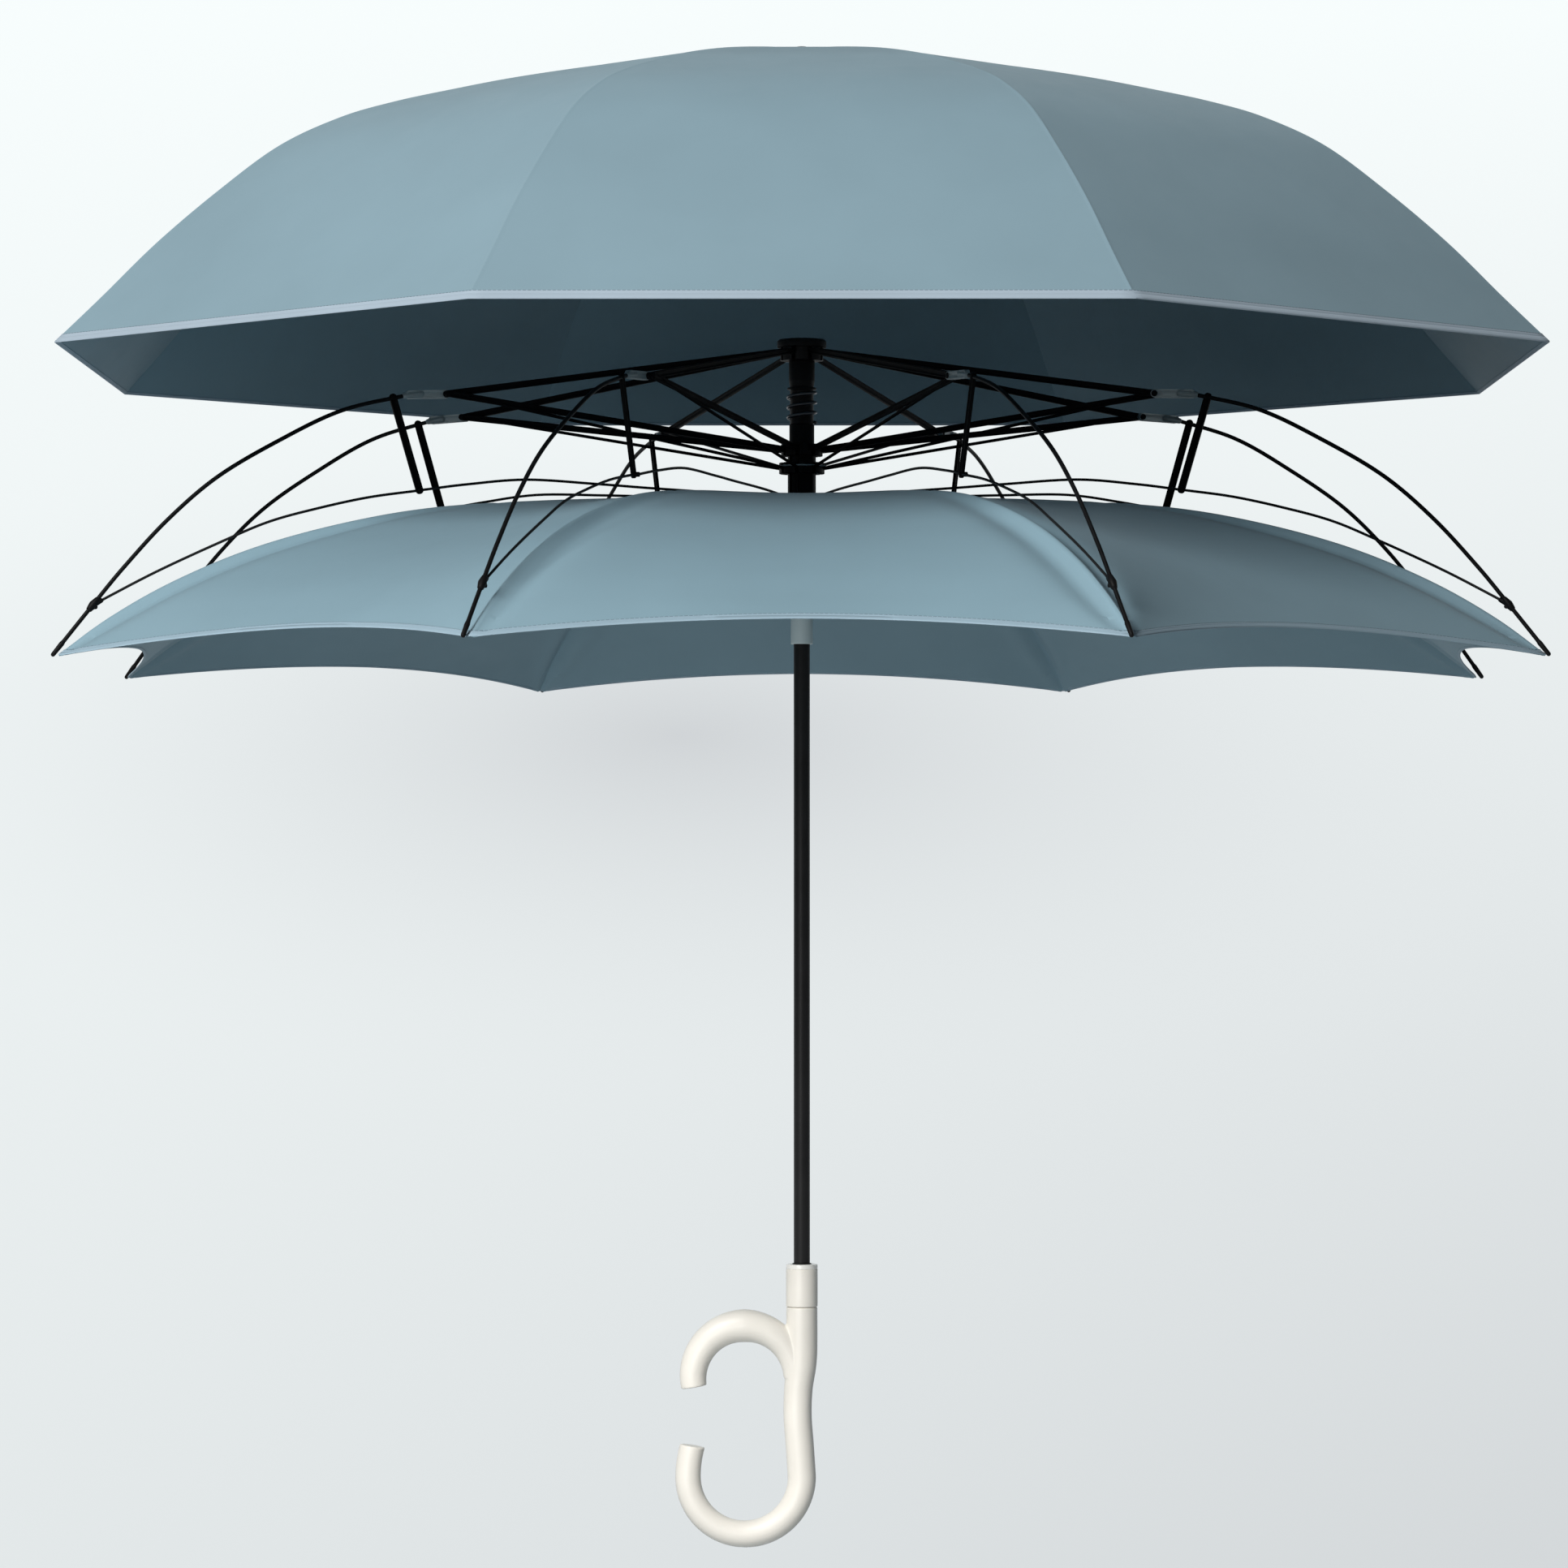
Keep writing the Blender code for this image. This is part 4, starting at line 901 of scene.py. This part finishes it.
def build_arms_and_struts():
    """The arms with their elbow pins, and the strut pairs: a flat bar and a thin wire side by side."""
    arm = gather(
        bar(CROWN_PIVOT, ELBOW, ARM_HEIGHT, ARM_THICKNESS, 0.0, ARM_GROOVE_DEPTH, BAR_RIM, 0.6),
        rivet(ELBOW, 0.0021, RIB_SIDE - 0.0022, RIB_SIDE - 0.0017),
        rivet(ELBOW, 0.0021, STRUT_SIDE + 0.001, STRUT_SIDE + 0.0016),
        rivet(ELBOW, 0.0012, RIB_SIDE - 0.0018, STRUT_SIDE + 0.0012))
    end = [foot + (elbow - foot) * 0.94 for foot, elbow in zip(STRUT_FOOT, ELBOW)]
    middle = [(foot + other) / 2 for foot, other in zip(THIN_STRUT_FOOT, end)]
    thin_line = smooth_line([THIN_STRUT_FOOT, middle, end], 6)
    strut = gather(
        bar(STRUT_FOOT, ELBOW, STRUT_HEIGHT, STRUT_THICKNESS, STRUT_SIDE, GROOVE_DEPTH, BAR_RIM, 0.85),
        tube(beside(thin_line, STRUT_SIDE), THIN_STRUT_RADIUS, rounded=True))
    for number in range(1, RIB_COUNT + 1):
        rib_piece(number, "arm_bar", arm, BLACK_ANODISED, "arm", "black_aluminium", "arm")
        rib_piece(number, "strut_bar", strut, BLACK_ANODISED, "strut", "black_aluminium", "strut")


def build_hub():
    """The crown with its notches and pin ring, the sleeve with its shoulder, and the cushioning spring."""
    low, high = height_span("crown")
    seat = CROWN_PIVOT[1] + 0.003
    wall, cap = 0.0146, 0.0167
    outline = (
        (SLIDE_BORE, low), (wall, low), (wall, seat), (cap, seat), (cap, high - 0.0012), (0.0155, high),
        (0.0105, high), (0.0098, high - 0.0006), (0, high - 0.0006), (0, seat + FIT_GAP),
        (SLIDE_BORE, seat + FIT_GAP))
    notch = cutter((0.0095, -0.0015, low - SLOT_END), (0.0166, 0.0015, seat))
    hub = shaded(combined(lathe(outline, 0.0003, 96), at_every_rib(notch)))
    pin_ring = wire_ring(0.0125, CROWN_PIVOT[1], 0.0009, 64)
    piece("crown_hub", gather(hub, pin_ring), BLACK_PLASTIC, "root", "black_plastic", "crown")

    low, high = height_span("crown_sleeve")
    shoulder = low + 0.0236
    shoulder_top = shoulder + 0.0014
    wall = 0.008
    outline = (
        (SLIDE_BORE, low), (wall, low), (wall, shoulder), (0.0099, shoulder), (0.0099, shoulder_top),
        (wall, shoulder_top), (0.0088, shoulder + 0.006), (0.0088, high), (SLIDE_BORE, high))
    piece("sleeve", lathe(outline, 0.0003, 64), BLACK_PLASTIC, "root", "black_plastic", "crown_sleeve")

    low, high = height_span("bumper_spring")
    turns, steps, wire, coil = 3, 28, 0.0012, 0.0092
    pitch = (high - low - 2 * wire) / turns
    line = [at_turn((coil, low + wire + pitch * number / steps), math.tau * number / steps)
            for number in range(turns * steps + 1)]
    spring = tube(line, wire, rounded=True)
    piece("cushion_spring", spring, SPRING_STEEL, "root", "black_steel", "bumper_spring")


def build_runner():
    """The runner with its strut ring, flange and stay ring, all slotted, and the liner in its mouth."""
    low, high = height_span("runner")
    flange_z = THIN_STRUT_FOOT[1]
    stay_z = STAY_FOOT[1] + STAY_RADIUS + FIT_GAP
    neck, barrel, ring = 0.0085, 0.0096, 0.0142
    discs = ((neck, ring, STRUT_FOOT[1], 0.004), (barrel, 0.0155, flange_z, 0.00375),
             (barrel, ring, stay_z, 0.002))
    outline = [(SLIDE_BORE, high), (neck, high)]
    for above, radius, middle, half in discs:
        outline += [(above, middle + half), (radius, middle + half), (radius, middle - half),
                    (barrel, middle - half)]
    outline += [(barrel, low + 0.001), (0.0090, low), (MOUTH_RADIUS, low),
                (MOUTH_RADIUS, low + MOUTH_DEPTH), (SLIDE_BORE, low + MOUTH_DEPTH)]
    strut_slot = cutter((0.0082, STRUT_SIDE - 0.0014, low - SLOT_END),
                        (0.0175, STRUT_SIDE + 0.0014, high + SLOT_END))
    stay_slot = cutter((0.0113, -0.0013, stay_z - 0.004), (0.0175, STRUT_SIDE, stay_z + 0.004))
    keyway = cutter((0, -KEY_HALF_WIDTH, low + 0.0141), (0.0072, KEY_HALF_WIDTH, high + SLOT_END))
    slots = at_every_rib(strut_slot) + at_every_rib(stay_slot) + [keyway]
    body = shaded(combined(lathe(outline, 0.00025, 96), slots))
    piece("runner_body", body, BLACK_PLASTIC, "runner", "black_plastic", "runner")
    steel_ring = wire_ring(0.0159, flange_z + 0.0014, 0.00055, 72)
    piece("runner_rings", steel_ring, BARE_STEEL, "runner", "black_steel")

    low, high = height_span("runner_liner")
    outline = (
        (SLIDE_BORE, low + 0.0006), (0.0064, low), (MOUTH_RADIUS, low), (0.0075, low + 0.0008),
        (0.0075, high - MOUTH_DEPTH), (0.007, high - MOUTH_DEPTH), (0.007, high), (SLIDE_BORE, high))
    piece("liner", lathe(outline, 0.0002, 72), GREY_NYLON, "runner", "grey_nylon", "runner_liner")


def build_shaft():
    """The bored shaft with the slot for its spring catch, the catch, and the boot on the collar."""
    low, high = height_span("shaft")
    catch_low, catch_high = height_span("top_catch")
    outline = ((SHAFT_BORE, low), (SHAFT_RADIUS, low), (SHAFT_RADIUS, high), (SHAFT_BORE, high))
    slot = cutter((0, -KEY_HALF_WIDTH, catch_low - FIT_GAP), (0.0075, KEY_HALF_WIDTH, catch_high + FIT_GAP))
    shaft = shaded(combined(lathe(outline, 0.0002, 96), [slot]))
    piece("shaft_tube", shaft, BLACK_PAINT, "root", "black_steel", "shaft")

    collar_top = height_span("handle_collar")[1]
    boot_top = collar_top + 0.0006
    outline = ((0.0056, collar_top), (0.0067, collar_top), (0.0063, boot_top), (0.0056, boot_top))
    piece("shaft_boot", lathe(outline, 0.0001, 64), BLACK_PLASTIC, "root", "black_plastic")

    blade = block((0.0056, 0.0018, catch_high - catch_low), (0.0041, 0, (catch_high + catch_low) / 2))
    lower = [corner for corner in blade.verts if corner.co.z < catch_high - 0.001 and corner.co.x > 0.005]
    bmesh.ops.translate(blade, vec=(-0.0017, 0, 0), verts=lower)
    soften(blade, 0.0002)
    piece("catch_blade", done(blade), SPRING_STEEL, "catch", "black_steel", "top_catch")


def build_cap():
    """The button on top of the outer canopy, with its washer under the cloth."""
    seat = CANOPY_APEX_Z + FIT_GAP
    low, high = height_span("top_cap")
    outline = (
        (0, low), (0.0078, low), (0.009, low + 0.0006), (0.009, low + 0.0018), (0.0085, low + 0.0022),
        (0.0033, low + 0.0022), (0.0033, seat), (0.0055, seat), (0.0055, seat + 0.0007),
        (0.0047, high - 0.0006), (0.0034, high), (0, high))
    piece("cap_button", lathe(outline, 0.0002, 72), BLACK_PLASTIC, "canopy_cap", "black_plastic", "top_cap")


# Handle

def lower_hook():
    """The stem and the large hook that it runs into, cut off at a slope at its tip."""
    stem = [(offset * GRIP_RADIUS, LOWER_HOOK_CENTRE_Z + share * (GRIP_TOP_Z - LOWER_HOOK_CENTRE_Z))
            for offset, share in STEM_SHARES]
    hook = arc((-LOWER_HOOK_RADIUS, LOWER_HOOK_CENTRE_Z), LOWER_HOOK_RADIUS, 360, 180, 50)
    hook += arc((0, LOWER_HOOK_CENTRE_Z), 2 * LOWER_HOOK_RADIUS, 180, 160, 10)[1:]
    line = smooth_line(stem + hook[:1], 14)[:-1]
    shares = smooth_line(GRIP_RADIUS_SHARES, 16)
    radii = [GRIP_RADIUS * point_at(shares, number / len(line)).x for number in range(len(line))]
    radii += evenly(len(hook), radii[-1], HOOK_END_RADIUS)
    end = cutter((-0.03, -0.03, 0), (0.03, 0.03, 0.03))
    end.transform(Matrix.Rotation(math.radians(-LOWER_TIP_SLOPE_DEG), 4, "Y"))
    end.transform(Matrix.Translation(LOWER_TIP))
    return combined(tube(beside([*line, *hook], 0), radii, GRIP_SIDES), [end])


def upper_hook():
    """The smaller hook on top, thickest at its crest."""
    rising = arc(UPPER_HOOK_CENTRE, UPPER_HOOK_RADIUS, 191, 90, 36)
    falling = arc(UPPER_HOOK_CENTRE, UPPER_HOOK_RADIUS, 90, 0, 32)[1:]
    radii = evenly(len(rising), UPPER_HOOK_ROOT_RADIUS, UPPER_HOOK_CREST_RADIUS)
    radii += evenly(len(falling) + 1, UPPER_HOOK_CREST_RADIUS, HOOK_END_RADIUS)[1:]
    return tube(beside([*rising, *falling], 0), radii, GRIP_SIDES)


def build_handle():
    """The grip, fused from its two hooks, and the collar with its glossy ring."""
    fused = placed("grip", combined(lower_hook(), [upper_hook()], "UNION"))
    remesh = fused.modifiers.new("even", "REMESH")
    remesh.mode = "VOXEL"
    remesh.voxel_size = 0.0007
    relax = fused.modifiers.new("relax", "SMOOTH")
    relax.factor = 0.5
    relax.iterations = 6
    piece("grip", shaded(evaluated(fused), 60), IVORY, "root", "ivory_plastic", "handle_grip")

    _, wall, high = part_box("handle_collar")[1]
    bottom = GRIP_TOP_Z + FIT_GAP
    ring_low = high - 0.0033
    outline = (
        (0, bottom - 0.015), (0.005, bottom - 0.015), (0.005, bottom), (wall - 0.0003, bottom),
        (wall, bottom + 0.0004), (wall, high - 0.0036), (wall - 0.0003, high - 0.0036),
        (wall - 0.0003, ring_low), (SLIDE_BORE, ring_low), (SLIDE_BORE, bottom + 0.0042),
        (0, bottom + 0.0042))
    piece("collar", lathe(outline, 0.00015, 96), IVORY, "root", "ivory_plastic", "handle_collar")
    outline = ((SLIDE_BORE, ring_low), (wall, ring_low), (wall, high - 0.0004), (wall - 0.0006, high),
               (SLIDE_BORE, high))
    piece("collar_ring", lathe(outline, 0.0003, 96), IVORY_GLOSS, "root", "ivory_plastic")


# Setting

def maths(made, operation, *values):
    """A sum on sockets or numbers, and its result's socket."""
    node = add_node(made, "Math", operation=operation)
    for value, target in zip(values, node.inputs):
        if isinstance(value, (int, float)):
            target.default_value = value
        else:
            link(made, value, target)
    return node.outputs[0]


def mixed(made, *sockets):
    """The socket of two shaders mixed: the second one's share, the first and the second."""
    mix = add_node(made, "MixShader")
    for source, target in zip(sockets, mix.inputs):
        link(made, source, target)
    return mix.outputs[0]


def pale_paper():
    """Paper whose plain colour has painted shade: it gets a little greyer down and to the right, with a soft
    painted shadow behind the middle.

    The camera, mirrors and clear plastic see its plain colour, over a little of the light that falls on it.
    From behind it is clear, so that it hides nothing."""
    made = node_material("pale_paper", (0.34, 0.385, 0.41), 0.9)
    place = add_node(made, "TexCoord").outputs["Object"]
    apart = add_node(made, "SeparateXYZ")
    link(made, place, apart.inputs[0])
    down = map_range(made, apart.outputs["Z"], From_Min=1.3, From_Max=-0.4)
    right = map_range(made, apart.outputs["X"], From_Min=-0.8, From_Max=0.8)
    middle = add_node(made, "Mapping", Location=(0.12, 0, -1.3), Scale=(0.9, 0, 2.5))
    link(made, place, middle.inputs["Vector"])
    round_painted_shadow = add_node(made, "TexGradient", gradient_type="QUADRATIC_SPHERE")
    link(made, middle.outputs[0], round_painted_shadow.inputs[0])
    # Painted shade: the plain colour greys down and to the right, and darkens in a soft round painted shadow
    # behind the middle.
    down_right = maths(made, "MULTIPLY", down, maths(made, "MULTIPLY_ADD", right, 0.36, 0.3))
    share = maths(made, "MULTIPLY_ADD", round_painted_shadow.outputs["Fac"], 0.6, down_right)
    plain = add_node(made, "Emission")
    link(made, colour_ramp(made, share, (0.95, 1.0, 1.0), (0.60, 0.62, 0.645)), plain.inputs["Color"])
    rays = add_node(made, "LightPath").outputs
    seen = maths(made, "MAXIMUM", rays["Is Camera Ray"], rays["Is Glossy Ray"])
    seen = maths(made, "MAXIMUM", seen, rays["Is Transmission Ray"])
    plainness = maths(made, "MULTIPLY", seen, maths(made, "MULTIPLY_ADD", down, -0.1, 0.98))
    lit = made.node_tree.nodes["Principled BSDF"].outputs[0]
    paper = mixed(made, plainness, lit, plain.outputs[0])
    backfacing = add_node(made, "NewGeometry").outputs["Backfacing"]
    clear = add_node(made, "BsdfTransparent").outputs[0]
    surface = mixed(made, backfacing, paper, clear)
    link(made, surface, made.node_tree.nodes["Material Output"].inputs["Surface"])
    return made


def build_setting():
    """A pale sweep of paper behind and under the umbrella, which faces the camera."""
    floor_z, back_y, bend, reach = -0.36, 2.4, 0.9, 6
    profile = [(-reach, floor_z), *arc((back_y - bend, floor_z + bend), bend, -90, 0, 15), (back_y, 4.5)]
    bm = bmesh.new()
    ends = [bm.verts.new((-reach, y, z)) for y, z in profile]
    edges = [bm.edges.new(pair) for pair in zip(ends, ends[1:])]
    grown = bmesh.ops.extrude_edge_only(bm, edges=edges)["geom"]
    moved = [item for item in grown if isinstance(item, bmesh.types.BMVert)]
    bmesh.ops.translate(bm, vec=(2 * reach, 0, 0), verts=moved)
    mesh = done(bm)
    if sum(face.normal.z * face.area for face in mesh.polygons) < 0:
        mesh.flip_normals()
    mesh.materials.append(pale_paper())
    placed("paper_sweep", mesh)


def soft_light(name, place, target, size, power, colour):
    """A square lamp at a place, turned to its target."""
    light = bpy.data.lights.new(name, "AREA")
    light.shape = "SQUARE"
    light.size = size
    light.energy = power
    light.color = colour
    lamp = placed(name, light)
    lamp.location = place
    lamp.rotation_euler = (Vector(target) - Vector(place)).to_track_quat("-Z", "Y").to_euler()
    return lamp


def chosen(name, pieces, state):
    """A collection of pieces that a lamp includes or leaves out."""
    group = bpy.data.collections.new(name)
    for member in pieces:
        group.objects.link(member)
    for entry in group.collection_objects:
        entry.light_linking.link_state = state
    return group


def build_lights():
    """A large soft lamp at the left in front, and a small card that lights the grip from the same side.

    The photograph lights the two canopies as if each stood alone. So the inner one has
    a lamp of its own, lower down on the same side, and the high lamp leaves it out."""
    inner = [item for item in bpy.data.objects if item.name.startswith("inner_")]
    for name, height, power, group, state in LAMPS:
        lamp = soft_light(name, (*LAMP_PLACE, height), LAMP_TARGET, LAMP_SIZE, power, LAMP_COLOUR)
        lamp.light_linking.receiver_collection = chosen(group, inner, state)
    card = soft_light("grip_card", (-0.36, -1.0, 0.08), (-0.02, 0, 0), 0.6, 1.0, (1.0, 0.985, 0.97))
    card.data.spread = math.radians(70)
    world = bpy.data.worlds.new("room")
    world.use_nodes = True
    background = world.node_tree.nodes["Background"]
    background.inputs["Color"].default_value = (0.92, 0.96, 1.0, 1)
    camera_ray = add_node(world, "LightPath").outputs["Is Camera Ray"]
    link(world, maths(world, "MULTIPLY_ADD", camera_ray, 0.62, 0.1), background.inputs["Strength"])
    bpy.context.scene.world = world


def build_camera():
    """The photograph's own view: level with the middle of the shaft, tilted up a degree."""
    data = bpy.data.cameras.new("camera")
    data.lens = CAMERA_LENS
    data.sensor_width = 36
    camera = placed("camera", data)
    camera.location = (0, -CAMERA_DISTANCE, CAMERA_HEIGHT)
    camera.rotation_euler = (math.radians(CAMERA_TILT_DEG), 0, math.radians(CAMERA_ROLL_DEG))
    bpy.context.scene.camera = camera


build_camera()
build_setting()
build_outer_canopy()
build_inner_canopy()
build_ribs()
build_arms_and_struts()
build_hub()
build_runner()
build_shaft()
build_cap()
build_handle()
build_lights()
bpy.context.scene.view_settings.view_transform = "Standard"
